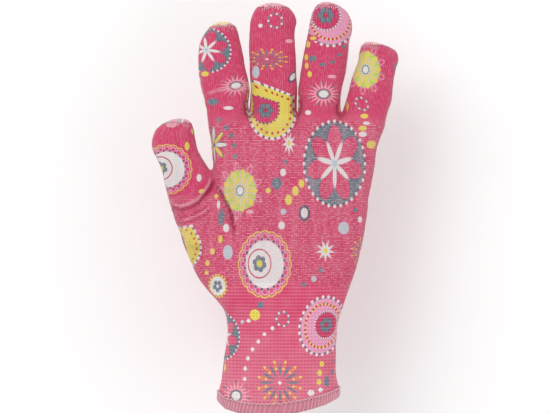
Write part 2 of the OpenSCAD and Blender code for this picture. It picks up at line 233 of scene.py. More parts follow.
def round_corner(turn, blunt):
    """A point round a blunted circle of radius 1. Above 2, its corners are fuller than a circle's."""
    across = np.sign(np.cos(turn)) * np.abs(np.cos(turn)) ** (2 / blunt)
    upward = np.sign(np.sin(turn)) * np.abs(np.sin(turn)) ** (2 / blunt)
    return across, upward


def tube_rings(outline, height, round_from, blunt, push=0.0, step=1.5, corners=48):
    """Rings of points up a tube. Past round_from its thickness closes as a dome."""
    across, upward = round_corner(np.linspace(0, 2 * np.pi, corners, endpoint=False), blunt)
    start, end = outline[0][0], outline[-1][0]
    rings = []
    for y in np.linspace(start, end, int((end - start) / step)):
        left, right = outline_at(outline, y)
        mid, half = height(y)
        dome = math.sqrt(max(0.0, 1 - max(0.0, (y - round_from) / (end - round_from)) ** 2.4))
        shift = push * smooth((y - SPREAD_FROM) / (SPREAD_TO - SPREAD_FROM))
        x = (left + right) / 2 + shift + (right - left) / 2 * across
        z = mid + half * max(dome, 0.12) * upward
        rings.append(np.column_stack([x, np.full(corners, y), z]))
    return rings


def finger_height(name):
    half = LITTLE_HALF if name == "little" else FINGER_HALF
    return lambda y: (FINGER_Z, half)


def thumb_height(y):
    """The thumb's middle height and half thickness, joining the hand's at its root."""
    mid, half = hand_height(y)
    out = smooth((y + 24) / 30)
    return mid + (THUMB_Z - mid) * out, half + (THUMB_HALF - half) * out


def add_loft(bm, rings):
    """A closed solid through the rings, capped at both ends."""
    rows = [[bm.verts.new(p) for p in ring] for ring in rings]
    count = len(rows[0])
    for low, high in zip(rows, rows[1:]):
        for i in range(count):
            j = (i + 1) % count
            bm.faces.new((low[i], low[j], high[j], high[i]))
    bm.faces.new(rows[0][::-1])
    bm.faces.new(rows[-1])


def new_object(name, mesh):
    obj = bpy.data.objects.new(name, mesh)
    bpy.context.scene.collection.objects.link(obj)
    return obj


def joined_skin():
    """All tubes joined into one closed skin, with its fingers held apart."""
    bm = bmesh.new()
    for name, outline in FINGERS.items():
        add_loft(bm, tube_rings(outline, finger_height(name), outline[-1][0] - 12, FINGER_BLUNT, PUSH[name]))
    add_loft(bm, tube_rings(THUMB, thumb_height, THUMB[-1][0] - 12, FINGER_BLUNT))
    add_loft(bm, tube_rings(HAND, hand_height, HAND[-1][0] - 6, HAND_BLUNT))
    mesh = bpy.data.meshes.new("skin")
    bm.to_mesh(mesh)
    bm.free()
    obj = new_object("skin", mesh)
    join = obj.modifiers.new("join", "REMESH")
    join.mode = "VOXEL"
    join.voxel_size = VOXEL
    relax = obj.modifiers.new("relax", "SMOOTH")
    relax.factor = 0.5
    relax.iterations = 14
    done = bpy.data.meshes.new_from_object(obj.evaluated_get(bpy.context.evaluated_depsgraph_get()))
    bpy.data.objects.remove(obj)
    return done


def field_of(items, field, width, kind=np.float32):
    """One field of a mesh's points, edges or corners, with so many numbers to a row."""
    out = np.empty(len(items) * width, kind)
    items.foreach_get(field, out)
    return out.reshape(-1, width)


def points_of(mesh):
    return field_of(mesh.vertices, "co", 3).astype(float)


def normals_of(mesh):
    return field_of(mesh.vertex_normals, "vector", 3).astype(float)


def set_points(mesh, points):
    mesh.vertices.foreach_set("co", points.astype(np.float32).ravel())
    mesh.update()


def brought_together(points):
    """Undoes the spread between the fingers, and only squeezes the gaps between them."""
    x, y = points[:, 0], points[:, 1]
    grow = smooth((y - SPREAD_FROM) / (SPREAD_TO - SPREAD_FROM))
    names = list(FINGERS)
    shift = PUSH[names[0]] * grow
    for near, far in zip(names, names[1:]):
        low = outline_at(FINGERS[near], y)[1] + PUSH[near] * grow
        high = outline_at(FINGERS[far], y)[0] + PUSH[far] * grow
        share = np.clip((x - low) / np.maximum(high - low, 0.2), 0, 1)
        shift = shift + (PUSH[far] - PUSH[near]) * grow * share
    thumb = (x < THUMB_EDGE) & (y < THUMB_TOP)
    points[:, 0] = x - np.where(thumb, 0, shift)
    return points


# ------------------------------------------------------------------ which part a point is on

NAMES = ["hand", *OUTLINES]
THUMB_NUMBER = NAMES.index("thumb")
# The fold from the crotch of the thumb into the palm. The thumb's fabric passes under it.
THUMB_FOLD = [
    (-44, 60), (-40, 36), (-35.6, 20), (-33.2, 12), (-28.5, 5.5), (-24.5, -3), (-23, -12), (-22.5, -30),
]


def finger_split(near, far, y):
    """Where two neighbouring fingers part, across the glove."""
    return (outline_at(FINGERS[near], y)[1] + outline_at(FINGERS[far], y)[0]) / 2


def along(joint_name, points):
    """Distance past a bending line, along the finger."""
    axis = hinge_axis(joint_name)
    place = hinge(joint_name)
    return (points[:, 0] - place[0]) * axis[1] - (points[:, 1] - place[1]) * axis[0]


def part_of(points):
    """For each point, the number in NAMES of the tube that it is on."""
    x, y = points[:, 0], points[:, 1]
    part = np.zeros(len(points), int)
    finger = 1 + (x > finger_split("index", "middle", y)).astype(int)
    finger += (x > finger_split("middle", "ring", y)).astype(int)
    finger += (x > finger_split("ring", "little", y)).astype(int)
    thumb = (x < np.interp(y, *np.array(THUMB_FOLD[::-1], float).T[::-1])) & (y < THUMB_TOP)
    part = np.where(y > ROOT_LINE - 10, finger, part)
    part = np.where(thumb & (along("thumb_root_bend", points) > -10), THUMB_NUMBER, part)
    part = np.where(thumb & (part != THUMB_NUMBER), 0, part)
    return part


def height_at(points, part):
    """Middle height and half thickness of the glove at each point."""
    mid, half = hand_height(points[:, 1])
    for number, name in enumerate(NAMES):
        if name in FINGERS:
            past = (part == number) & (points[:, 1] > ROOT_LINE)
            half = np.where(past, finger_height(name)(0)[1], half)
    thumb_mid, thumb_half = thumb_height(points[:, 1])
    mid = np.where(part == THUMB_NUMBER, thumb_mid, mid)
    half = np.where(part == THUMB_NUMBER, thumb_half, half)
    return mid, half


# ------------------------------------------------------------------ folds and creases

THUMB_WELT = [
    (-60, 3.0), (-58, 1.8), (-52.7, -0.1), (-47.5, 1.4), (-43.5, 4.0), (-38.1, 11.0), (-35.6, 16.9),
]
WELT_SHADE = [(-57, -8.2), (-50.5, -7.6), (-45.6, -6.2), (-40.5, -3.6), (-35.9, 0.2)]
PALM_FOLD = [(-33.0, 13.0), (-28.5, 6.5), (-24.0, -3.0), (-22.3, -12.0), (-21.9, -20.0)]
KNUCKLE = [(-41, 62.5), (-34, 64.5), (-27, 66.0), (-20, 66.5), (-14.5, 66.0)]
VALLEYS = [
    [(12.7, 60), (12.2, 45), (11.0, 28)],
    [(37.6, 56), (37.0, 48), (36.0, 42)],
    [(-14.9, 58), (-14.6, 48), (-13.5, 40)],
]
HEM_CURVE = [
    (-36, -107.0), (-31.9, -108.6), (-27.9, -112.2), (-20, -114.6), (-8.2, -116.2), (2, -115.8),
    (11.6, -114.3), (20, -112.2), (28, -109.9), (35.6, -106.3), (38, -105.0),
]


def beside(points, line):
    """Distance from a line in the top view, which side (left is positive), and share along it."""
    best = np.full(len(points), 1e9)
    side = np.zeros(len(points))
    share = np.zeros(len(points))
    for i, (a, b) in enumerate(zip(line, line[1:])):
        a, d = np.array(a, float), np.array(b, float) - np.array(a, float)
        to = points[:, :2] - a
        t = np.clip(to @ d / (d @ d), 0, 1)
        away = to - t[:, None] * d
        dist = np.hypot(away[:, 0], away[:, 1])
        near = dist < best
        best = np.where(near, dist, best)
        side = np.where(near, np.sign(d[0] * to[:, 1] - d[1] * to[:, 0]), side)
        share = np.where(near, (i + t) / (len(line) - 1), share)
    return best, side, share


def fold_line(points, line, rise, fall, late=0.0):
    """Distance from a fold, which side of it, and how it comes and goes along its length."""
    dist, side, share = beside(points, line)
    return dist, side, smooth(share * rise - late) * smooth((1 - share) * fall)


def bell(distance, width):
    return np.exp(-(distance / width) ** 2)


def uneven(points, scale, seed):
    """Smooth noise from -1 to 1, the same each run."""
    return np.array([noise.noise(Vector(p) / scale + Vector((seed, 0, 0))) for p in points])


def folded(points, normals, mid, part):
    """Moves the skin along its normal for folds, welts and slack.

    Gives the points, and their painted shade: above 0 shade painted into creases, valleys and seam holes,
    below 0 a paler colour along ridges, partly stretched knit and partly painted highlight.
    """
    top = smooth((points[:, 2] - mid) / 3)
    lift = 0.55 * uneven(points, 13, 3.1) + 0.16 * uneven(points, 4.5, 8.7)
    streak = uneven(points * [1.0, 0.12, 0.4], 3.2, 5.5)
    palm_zone = smooth((points[:, 1] + 42) / 30) * smooth((58 - points[:, 1]) / 14)
    lift += 0.22 * top * palm_zone * streak
    # Painted light and shade along the streaks: paler where they are raised, darker where they sink.
    shade = -0.28 * palm_zone * top * streak

    dist, side, fade = fold_line(points, THUMB_WELT, 4, 8, 0.15)
    beside_welt = np.where(side > 0, 1.1 * bell(dist, 6), -0.9 * bell(dist - 2.2, 1.5))
    lift += top * fade * (1.5 * bell(dist, 1.1) + beside_welt)
    # Painted shade beside the welt, and a pale line along its ridge that is partly stretched knit and partly
    # painted highlight.
    shade += top * fade * np.where(side > 0, 0.25 * bell(dist - 2.4, 1.0), 0.95 * bell(dist - 1.7, 0.9))
    shade -= top * fade * 1.3 * bell(dist, 0.8)

    dist, side, fade = fold_line(points, WELT_SHADE, 6, 6)
    lift += top * fade * (0.6 * bell(dist, 1.0) - 0.6 * bell(dist - 1.8, 1.2))
    # Painted shade in the groove beside this fold, and a paler colour on its crest.
    shade += top * fade * (0.5 * bell(dist - 1.5, 0.8) - 0.5 * bell(dist, 0.6))

    dist, side, fade = fold_line(points, PALM_FOLD, 5, 2.5)
    lift += top * fade * np.where(side < 0, -1.8 * bell(dist, 2.6), 1.7 * bell(dist, 4.5))
    # Painted shade on the low side of the palm fold, and a paler colour on its raised side.
    shade += top * fade * np.where(side < 0, bell(dist - 0.7, 1.3), -0.3 * bell(dist - 0.8, 1.0))

    dist, side, fade = fold_line(points, KNUCKLE, 5, 5)
    lift += top * fade * (0.5 * bell(dist, 0.8) - 0.4 * bell(dist - 2.0, 1.0))
    # A pale line along the knuckle's ridge, partly stretched knit and partly painted highlight.
    shade -= top * fade * 0.7 * bell(dist + uneven(points, 2.5, 9.0), 0.8)

    for number, name in enumerate(NAMES[1:], 1):
        outline = OUTLINES[name]
        along_seam = (points[:, 0] - (outline[-1][1] + outline[-1][2]) / 2) / 6.5
        seam = outline[-1][0] - 4.0 - 3.0 * along_seam ** 2
        near = top * (part == number) * bell(points[:, 1] - seam, 0.8) * smooth(1.6 - np.abs(along_seam))
        lift -= 0.35 * near
        # Painted shade in the holes between the closing seam's stitches, and a paler seam.
        shade += 0.9 * near * (np.sin(points[:, 0] * 3.6) > 0.3) - 0.3 * near

    for line in VALLEYS:
        dist, side, share = beside(points, line)
        lift -= top * 2.4 * bell(dist, 2.8) * smooth((1 - share) * 1.3)
        # Painted shade down each valley.
        shade += top * bell(dist, 1.2) * smooth((1 - share) * 1.2) * 0.8
    return points + normals * lift[:, None], np.clip(shade, -1, 1)


def hem_curve(points):
    """Slides the end of the cuff to its curved, slightly pulled hem."""
    x, y = points[:, 0], points[:, 1]
    xs, ys = np.array(HEM_CURVE).T
    points[:, 1] = y + (np.interp(x, xs, ys) - HEM) * smooth((-92 - y) / (-92 - HEM))
    return points


# ------------------------------------------------------------------ the print

# Each motif: its kind, its middle (x, y), its half sizes, and how far it is turned.
# Later ones lie on top.
(TEAL_FLOWER, PINK_DISC, PINK_CORE, WHITE_DISC, WHITE_CORE, LIME_FLOWER, YELLOW_DISC, YELLOW_CORE,
 FIREWORK, BURST, STAR_FLOWER, DOTTED_RING, WHITE_STAR, SMALL_FLOWER, RIMMED_OVAL,
 TEAL_DOT, YELLOW_DOT, WHITE_DOT, BLUE_DOT, PINK_DOT) = range(1, 21)

BIG_MOTIFS = [
    (TEAL_FLOWER, 33.4, 24, 18, 25, 0), (TEAL_FLOWER, -38.6, 88, 14.5, 13, -20),
    (TEAL_FLOWER, -30.7, -72.8, 11.4, 13.8, 0), (PINK_DISC, 31.3, 104.9, 15.5, 15.5, 0),
    (PINK_CORE, 28.5, 107.4, 8.4, 8.6, 0), (PINK_DISC, 26.5, -66.4, 13.3, 17.3, -17),
    (PINK_CORE, 28.5, -66, 6.4, 7.9, -17), (WHITE_DISC, -5.7, -32.1, 15.2, 19.2, 0),
    (WHITE_CORE, -8.6, -31.8, 6.8, 8.5, 0), (WHITE_DISC, -60.7, 20.8, 14.5, 14.5, 0),
    (WHITE_CORE, -64.6, 21.4, 7.4, 7.0, 0), (WHITE_DISC, 71.5, 48, 9, 9, 0),
    (LIME_FLOWER, -19.5, 8.8, 12.4, 15.9, 0), (LIME_FLOWER, 50.9, 76.9, 11.0, 14.0, 0),
    (FIREWORK, 2.7, -98, 13.8, 13.8, 0), (FIREWORK, -4.5, 82.7, 13, 6.5, 0),
    (FIREWORK, 50.5, -25.5, 9, 9, 0), (BURST, 27.3, 63.2, 10, 7.4, 0), (BURST, -21.9, 67.9, 10, 6, 8),
    (BURST, -21.7, -105.4, 9, 9, 0), (STAR_FLOWER, -34.6, 34.7, 8, 10.5, 0),
    (WHITE_STAR, 7.8, 35.6, 3.9, 6.9, 0), (WHITE_STAR, 28.1, -24.6, 5.6, 6.2, 0),
    (SMALL_FLOWER, -32, -44.4, 5.5, 6.9, 0), (DOTTED_RING, 0.2, 104.3, 4.8, 4.8, 0),
    (DOTTED_RING, 48.7, 57.7, 5, 3.5, -45), (DOTTED_RING, 4.3, -62.5, 4.2, 4.9, 0),
    (RIMMED_OVAL, 16.4, -3.7, 3.1, 4.6, 0), (RIMMED_OVAL, 10.1, 73, 2.0, 3.9, -35),
    (YELLOW_DISC, -1.5, 53, 13.7, 15.8, 0), (YELLOW_CORE, -5.4, 54.0, 8.2, 8.0, 0),
    (YELLOW_DISC, -53.3, -22.6, 12.4, 13, 30), (YELLOW_CORE, -57.5, -22.0, 7.0, 7.4, 0),
]
# The same for plain dots, which aren't turned.
DOTS = {
    TEAL_DOT: [
        (1, 12.9, 2.8, 3.6), (5.8, 25, 1, 1.2), (45, -2.1, 1.2, 1.3), (25.5, -35.5, 1.4, 1.5),
        (16.1, -43.5, 1.3, 1.3), (-8.1, -54.9, 1.8, 1.9), (-31.6, 48.8, 1.3, 1.3),
        (-27.4, 44.2, 1.5, 1.3), (-24.6, 39.8, 1.4, 1.4), (-23, 34.1, 1.3, 1.5),
        (-22.4, 27.9, 1.3, 1.5), (-34.8, 58.9, 3.2, 1.9), (28.9, -97.6, 1.4, 3),
        (32.1, -92.5, 0.9, 1.5), (33.2, -86.6, 0.9, 1.3), (21, 83.2, 2.3, 1.7), (26.9, 79.7, 1.9, 1.1),
        (32.4, 81.2, 1.5, 0.9), (36.2, 85.2, 1.5, 0.9), (38.6, 90, 1.4, 0.9), (-30, -5.8, 1.9, 5),
        (68.5, 78.8, 1.4, 2.2),
    ],
    YELLOW_DOT: [
        (14.8, 12.7, 1.6, 2.3), (11.4, 8.7, 1.8, 2.7), (7.6, 3.7, 2.0, 2.8), (-3.8, 8.9, 1.4, 1.5),
        (54.3, 34.8, 2.8, 2.2), (-11.2, -60.3, 2.9, 3.1), (-49.4, 33.9, 1.3, 2.4),
        (-46.2, 42.5, 1.0, 1.8), (-40.9, 8.5, 1.9, 1.2), (-32.8, 5.6, 1.1, 1.4),
        (-30.5, -18.2, 1.2, 2.2), (-34.9, -25, 1.3, 1.7), (-37.7, -31.6, 1.2, 1.6),
        (-38.2, -37, 1.1, 1.2), (26.1, -87.7, 1.2, 1.6), (24.9, -92.7, 1.3, 1.7),
        (24.5, -97.8, 1.3, 1.6), (40.3, 56.4, 1.2, 2.6), (50.2, 50.8, 2.2, 1.3), (49.3, 44, 2.3, 1.4),
        (-39.4, 74.6, 2.2, 1.4), (-28.6, -89.9, 1.1, 2.3), (18.6, 91.4, 1.2, 1.9), (17.6, 84, 1.0, 1.8),
        (17.8, 79.2, 1.0, 1.7), (19.5, 74.4, 1.2, 1.7), (21.4, 94.6, 1.8, 1.0),
    ],
    WHITE_DOT: [
        (4.5, 19.1, 1.6, 2.1), (3.7, -10.6, 1.8, 2.2), (47.7, -7.3, 1.2, 1.7), (-27.3, -12, 1.7, 2.3),
        (-42.6, 16.1, 1.3, 2.1), (-31.6, 1, 0.9, 2.3), (20, -103.7, 1.9, 1.7), (25.4, -102.1, 1.3, 1.2),
        (-1.4, -67.7, 1.0, 1.1), (-5.9, -71, 1.0, 1.0), (-9.3, -75.1, 1.0, 1.1),
        (-12.5, -79.5, 1.0, 1.1), (-15.1, -84.5, 1.0, 1.2), (-16.6, -90.2, 1.0, 1.2),
        (-16.9, -96, 1.0, 1.1), (-14.7, -63.6, 1.2, 1.0), (18.6, 52.8, 1.7, 1.3),
        (-26.2, 55.3, 2.7, 1.0), (-8.2, 101.6, 1.2, 1.1), (51.3, 46.8, 1.9, 0.9),
        (49.3, 40.6, 2.3, 1.5),
    ],
    BLUE_DOT: [
        (4.7, -2.9, 1.6, 1.6), (38.4, -12, 3.0, 3.5), (-26.3, -25.5, 2.7, 4.0), (21.6, -40.3, 1.5, 1.7),
        (-18.2, -64.3, 1.0, 1.0), (-10.8, 75.6, 2.0, 3.5),
    ],
    PINK_DOT: [
        (-58, 46, 3.2, 1.6), (-14, -3, 2.2, 1.2), (8, 93, 2.2, 1.1), (32, 73, 2.4, 1.0),
    ],
}
MOTIFS = BIG_MOTIFS + [(kind, *dot, 0) for kind, dots in DOTS.items() for dot in dots]
WALL_SHADE = 0.6          # the walls between fingers are in shade
MARGIN = 0.8              # a motif owns the fabric this far outside its edge
PALM_SHIFT = (-30.0, -47.0)   # the palm side has the same print, mirrored and moved
PRINT_FROM = (-65.0, -116.0)  # and starts again when it runs out
PRINT_SPAN = (137.0, 232.0)
SIDE_FROM = 0.4           # a tube's side starts this share of its half thickness above its middle
ROUND_SIDE = 0.8          # how much of the way down the side the print runs on


def print_plan(points, normals, mid, half):
    """Where each point is on the flat print, for the back of the glove and for its palm side."""
    low_back = np.maximum(0, mid + SIDE_FROM * half - points[:, 2])
    high_palm = np.maximum(0, points[:, 2] - mid + SIDE_FROM * half)
    back = points[:, :2] + normals[:, :2] * ROUND_SIDE * low_back[:, None]
    palm = points[:, :2] + normals[:, :2] * ROUND_SIDE * high_palm[:, None]
    palm = np.column_stack([PALM_SHIFT[0] - palm[:, 0], PALM_SHIFT[1] + palm[:, 1]])
    return back, palm


def in_motif(plan, motif):
    """A place on the print as seen by one motif: 1 away from its middle is its edge."""
    x, y, rx, ry, turn = motif[1:]
    c, s = math.cos(math.radians(turn)), math.sin(math.radians(turn))
    dx, dy = plan[:, 0] - x, plan[:, 1] - y
    return (dx * c + dy * s) / rx, (dy * c - dx * s) / ry


def paint_motifs(mesh, plan_at_corners, face_middles, corner_face):
    """Gives each face to the topmost motif over it, and keeps that motif's coordinates at its corners."""
    owner = np.full(len(face_middles), -1)
    for number, motif in enumerate(MOTIFS):
        u, v = in_motif(face_middles, motif)
        reach = np.hypot(u, v)
        if motif[0] in (YELLOW_DISC, YELLOW_CORE):      # as in Print.drop_reach
            reach = np.where(v > 0, np.maximum(v / 0.9 + 0.37 * u, np.abs(u)), reach)
        owner[reach < 1 + MARGIN / min(motif[3], motif[4])] = number
    place = np.zeros((len(corner_face), 3))
    size = np.ones(len(corner_face))
    for number, motif in enumerate(MOTIFS):
        mine = owner[corner_face] == number
        if mine.any():
            u, v = in_motif(plan_at_corners[mine], motif)
            place[mine] = np.column_stack([u, v, np.full(len(u), motif[0])])
            size[mine] = min(motif[3], motif[4])
    store(mesh, "motif", "FLOAT_VECTOR", "CORNER", place)
    store(mesh, "motif_size", "FLOAT", "CORNER", size)


def store(mesh, name, kind, domain, values):
    layer = mesh.attributes.new(name, kind, domain)
    field = "vector" if kind == "FLOAT_VECTOR" else "value"
    layer.data.foreach_set(field, np.asarray(values, np.float32).ravel())


# ------------------------------------------------------------------ node materials

PINK = (0.655, 0.050, 0.145)
PINK_SHADE = (0.30, 0.020, 0.065)
PINK_PALE = (0.86, 0.40, 0.48)
YARN = (0.86, 0.52, 0.58)
PINK_LIGHT = (0.80, 0.33, 0.50)
MAGENTA = (0.60, 0.035, 0.13)
TEAL = (0.13, 0.21, 0.25)
NAVY = (0.07, 0.10, 0.15)
WHITE = (0.80, 0.78, 0.77)
YELLOW = (0.78, 0.66, 0.09)
LIME = (0.50, 0.66, 0.08)
ORANGE = (0.78, 0.30, 0.04)
RED = (0.55, 0.022, 0.06)
BLUE = (0.50, 0.60, 0.66)


class Sum:
    """A number on the surface, built up as math nodes."""

    def __init__(self, tree, socket):
        self.tree, self.socket = tree, socket

    def node(self, operation, *inputs, clamp=False):
        made = self.tree.nodes.new("ShaderNodeMath")
        made.operation = operation
        made.use_clamp = clamp
        for place, value in enumerate((self,) + inputs):
            if isinstance(value, Sum):
                self.tree.links.new(value.socket, made.inputs[place])
            else:
                made.inputs[place].default_value = value
        return Sum(self.tree, made.outputs[0])

    def __add__(self, other):
        return self.node("ADD", other)

    def __sub__(self, other):
        return self.node("SUBTRACT", other)

    def __mul__(self, other):
        return self.node("MULTIPLY", other)

    def times_plus(self, scale, more, clamp=False):
        return self.node("MULTIPLY_ADD", scale, more, clamp=clamp)

    def inside(self, sharp):
        """1 where this distance is positive, with an edge a fixed fraction of a millimetre soft."""
        return self.node("MULTIPLY_ADD", sharp, 0.5, clamp=True)


def mixed(tree, share, base, over):
    """A colour between two colours."""
    made = tree.nodes.new("ShaderNodeMix")
    made.data_type = "RGBA"
    for name, value in ((0, share), (6, base), (7, over)):
        if isinstance(value, Sum):
            tree.links.new(value.socket, made.inputs[name])
        else:
            made.inputs[name].default_value = (*value, 1)
    return Sum(tree, made.outputs[2])


def read_number(tree, name, output="Fac"):
    node = tree.nodes.new("ShaderNodeAttribute")
    node.attribute_name = name
    return Sum(tree, node.outputs[output])


def own_place(tree):
    """Where a point is on its own object, in metres."""
    return Sum(tree, tree.nodes.new("ShaderNodeTexCoord").outputs["Object"])


def split(tree, vector):
    """The three numbers of a vector."""
    made = tree.nodes.new("ShaderNodeSeparateXYZ")
    tree.links.new(vector.socket, made.inputs[0])
    return [Sum(tree, output) for output in made.outputs]


class Print:
    """The flower print of one material: draws each kind of motif from its own coordinates."""

    def __init__(self, tree):
        self.tree = tree
        self.u, self.v, self.kind = split(tree, read_number(tree, "motif", "Vector"))
        self.sharp = read_number(tree, "motif_size") * 2.4
        self.r = (self.u * self.u + self.v * self.v).node("SQRT")
        self.turn = self.v.node("ARCTAN2", self.u)
        self.folds = {}

    def spoke(self, count, phase):
        """Angle from the nearest of so many spokes."""
        if (count, phase) not in self.folds:
            part = self.turn.times_plus(count / (2 * math.pi), 10.5 + phase).node("FRACT")
            self.folds[count, phase] = (part - 0.5) * (2 * math.pi / count)
        return self.folds[count, phase]

    def disc(self, radius):
        return self.r.times_plus(-1, radius).inside(self.sharp)

    def drop_reach(self):
        """Distance to the edge of a disc whose upper half is squared off by a slanting line."""
        slant = self.v.times_plus(1 / 0.9, 0) + self.u * 0.37
        square = slant.node("MAXIMUM", self.u.node("ABSOLUTE"))
        upper = self.v.node("GREATER_THAN", 0.0)
        return (square - self.r) * upper + self.r

    def drop(self, radius, count=0):
        """A drop-shaped patch, or only every other piece of it when it has a count."""
        patch = self.drop_reach().times_plus(-1, radius).inside(self.sharp)
        if count:
            patch = patch * self.spoke(count, 0).node("ABSOLUTE").node("LESS_THAN", 0.62 * math.pi / count)
        return patch

    def drop_dots(self, count, radius, size):
        out = self.drop_reach() - radius
        across = self.r * self.spoke(count, 0)
        return (out * out + across * across).node("SQRT").times_plus(-1, size).inside(self.sharp)

    def ring(self, radius, width):
        away = (self.r - radius).node("ABSOLUTE")
        return away.times_plus(-1, width / 2).inside(self.sharp)

    def petal_reach(self, count, phase, middle, long, wide):
        """Distance from the middle of the nearest of a ring of ellipses: 1 at its edge."""
        angle = self.spoke(count, phase)
        out = (self.r * angle.node("COSINE") - middle) * (1 / long)
        across = self.r * angle.node("SINE") * (1 / wide)
        return (out * out + across * across).node("SQRT")

    def petals(self, count, phase, middle, long, wide):
        """Ellipses round the motif, one on each spoke."""
        size = min(long, wide)
        return self.petal_reach(count, phase, middle, long, wide).times_plus(-size, size).inside(self.sharp)

    def loops(self, count, phase, middle, long, wide, line):
        """The outlines of such ellipses."""
        reach = self.petal_reach(count, phase, middle, long, wide) - 1
        return (reach * wide).node("ABSOLUTE").times_plus(-1, line / 2).inside(self.sharp)

    def rays(self, count, phase, start, end, wide):
        """Pointed rays that taper to nothing at their end."""
        angle = self.spoke(count, phase).node("ABSOLUTE")
        width = self.r.times_plus(-wide / end, wide) - self.r * angle
        begun = (self.r - start).inside(self.sharp)
        return width.inside(self.sharp) * begun

    def layers(self, base, *pairs):
        for share, colour in pairs:
            base = mixed(self.tree, share, base, colour)
        return base

    def colour(self, base):
        """The print's colour over a base colour."""
        disc, drop, drop_dots, ring = self.disc, self.drop, self.drop_dots, self.ring
        petals, loops, rays = self.petals, self.loops, self.rays
        drawings = {
            TEAL_FLOWER: (
                base, (disc(0.96), NAVY), (disc(0.92), TEAL),
                (petals(7, 0.25, 0.52, 0.37, 0.235), NAVY), (petals(7, 0.25, 0.52, 0.35, 0.215), base),
                (petals(7, 0.75, 0.27, 0.27, 0.06), WHITE), (disc(0.08), BLUE),
                (petals(32, 0, 0.955, 0.04, 0.042), WHITE)
            ),
            PINK_DISC: (
                base, (disc(0.94), NAVY), (disc(0.9), PINK_LIGHT), (ring(0.71, 0.06), YELLOW),
                (petals(30, 0, 0.71, 0.05, 0.04), RED), (petals(26, 0, 0.95, 0.055, 0.055), WHITE)
            ),
            PINK_CORE: (
                PINK_LIGHT, (disc(1.0), NAVY), (disc(0.93), MAGENTA),
                (petals(30, 0, 0.97, 0.06, 0.055), WHITE), (petals(6, 0, 0.36, 0.21, 0.21), NAVY),
                (petals(6, 0, 0.36, 0.17, 0.17), TEAL), (disc(0.15), RED)
            ),
            WHITE_DISC: (
                base, (loops(20, 0, 0.86, 0.11, 0.15, 0.045), YELLOW), (disc(0.88), base),
                (loops(20, 0, 0.8, 0.09, 0.1, 0.05), PINK_LIGHT),
                (petals(20, 0.5, 0.73, 0.05, 0.045), NAVY), (disc(0.69), WHITE)
            ),
            WHITE_CORE: (
                WHITE, (ring(0.93, 0.09), RED), (petals(6, 0.25, 0.34, 0.23, 0.21), NAVY),
                (petals(6, 0.25, 0.34, 0.2, 0.18), TEAL), (disc(0.24), LIME), (disc(0.16), YELLOW)
            ),
            LIME_FLOWER: (
                base, (disc(0.72), LIME), (petals(9, 0, 0.42, 0.36, 0.14), YELLOW),
                (petals(9, 0.25, 0.42, 0.33, 0.018), BLUE), (petals(9, 0.75, 0.42, 0.33, 0.018), BLUE),
                (disc(0.2), TEAL), (disc(0.14), WHITE), (petals(10, 0, 0.2, 0.035, 0.03), BLUE),
                (loops(9, 0.5, 0.86, 0.14, 0.085, 0.03), PINK_PALE)
            ),
            YELLOW_DISC: (
                base, (drop(0.96), NAVY), (drop(1.0, 24), WHITE), (drop(0.9), YELLOW),
                (drop_dots(20, 0.76, 0.05), RED)
            ),
            YELLOW_CORE: (
                YELLOW, (drop(0.99, 22), NAVY), (drop(0.9), MAGENTA),
                (petals(6, 0, 0.34, 0.22, 0.2), NAVY), (petals(6, 0, 0.34, 0.17, 0.15), TEAL),
                (disc(0.12), RED)
            ),
            FIREWORK: (
                base, (petals(12, 0, 0.54, 0.26, 0.045), TEAL),
                (petals(12, 0.5, 0.58, 0.055, 0.045), YELLOW),
                (petals(12, 0.5, 0.72, 0.05, 0.045), ORANGE),
                (petals(12, 0.5, 0.86, 0.06, 0.05), YELLOW), (disc(0.07), WHITE)
            ),
            BURST: (
                base, (rays(18, 0, 0.42, 1.0, 0.13), PINK_PALE),
                (petals(7, 0.2, 0.84, 0.1, 0.05), TEAL), (disc(0.36), TEAL), (disc(0.27), WHITE)
            ),
            STAR_FLOWER: (
                base, (petals(8, 0, 0.52, 0.46, 0.15), NAVY), (petals(4, 0, 0.52, 0.42, 0.11), WHITE),
                (petals(4, 0.5, 0.5, 0.42, 0.11), YELLOW), (disc(0.12), TEAL)
            ),
            DOTTED_RING: (
                base, (ring(0.82, 0.1), NAVY), (petals(7, 0, 0.82, 0.13, 0.13), TEAL),
                (petals(7, 0.5, 0.82, 0.12, 0.14), WHITE)
            ),
            WHITE_STAR: (
                base, (rays(9, 0.25, 0, 1.0, 0.24), WHITE), (disc(0.22), YELLOW)
            ),
            SMALL_FLOWER: (
                base, (petals(18, 0, 0.92, 0.09, 0.09), YELLOW), (disc(0.84), YELLOW),
                (disc(0.76), WHITE), (petals(5, 0.25, 0.3, 0.2, 0.19), TEAL), (disc(0.12), WHITE)
            ),
            RIMMED_OVAL: (
                base, (disc(1.0), NAVY), (disc(0.64), WHITE)
            ),
        }
        dots = {TEAL_DOT: TEAL, YELLOW_DOT: YELLOW, WHITE_DOT: WHITE, BLUE_DOT: BLUE, PINK_DOT: PINK_PALE}
        for kind, colour in dots.items():
            drawings[kind] = (base, (disc(1.0), colour))
        out = base
        for kind, drawing in drawings.items():
            chosen = self.kind.node("COMPARE", kind, 0.4)
            out = mixed(self.tree, chosen, out, self.layers(*drawing))
        return out


def new_material(name, roughness, sheen=0.0, gloss=0.5, film=0.0):
    material = bpy.data.materials.new(name)
    material.use_nodes = True
    shader = material.node_tree.nodes["Principled BSDF"]
    shader.inputs["Roughness"].default_value = roughness
    shader.inputs["Sheen Weight"].default_value = sheen
    shader.inputs["Specular IOR Level"].default_value = gloss
    shader.inputs["Coat Weight"].default_value = film
    shader.inputs["Coat Roughness"].default_value = 0.35
    return material, material.node_tree, shader


def speckle(tree, vector, scale, detail=2.0):
    node = tree.nodes.new("ShaderNodeTexNoise")
    node.inputs["Scale"].default_value = scale
    node.inputs["Detail"].default_value = detail
    tree.links.new(vector.socket, node.inputs["Vector"])
    return Sum(tree, node.outputs["Fac"])


def wave(place, pitch):
    return (place * (2 * math.pi / pitch)).node("SINE")


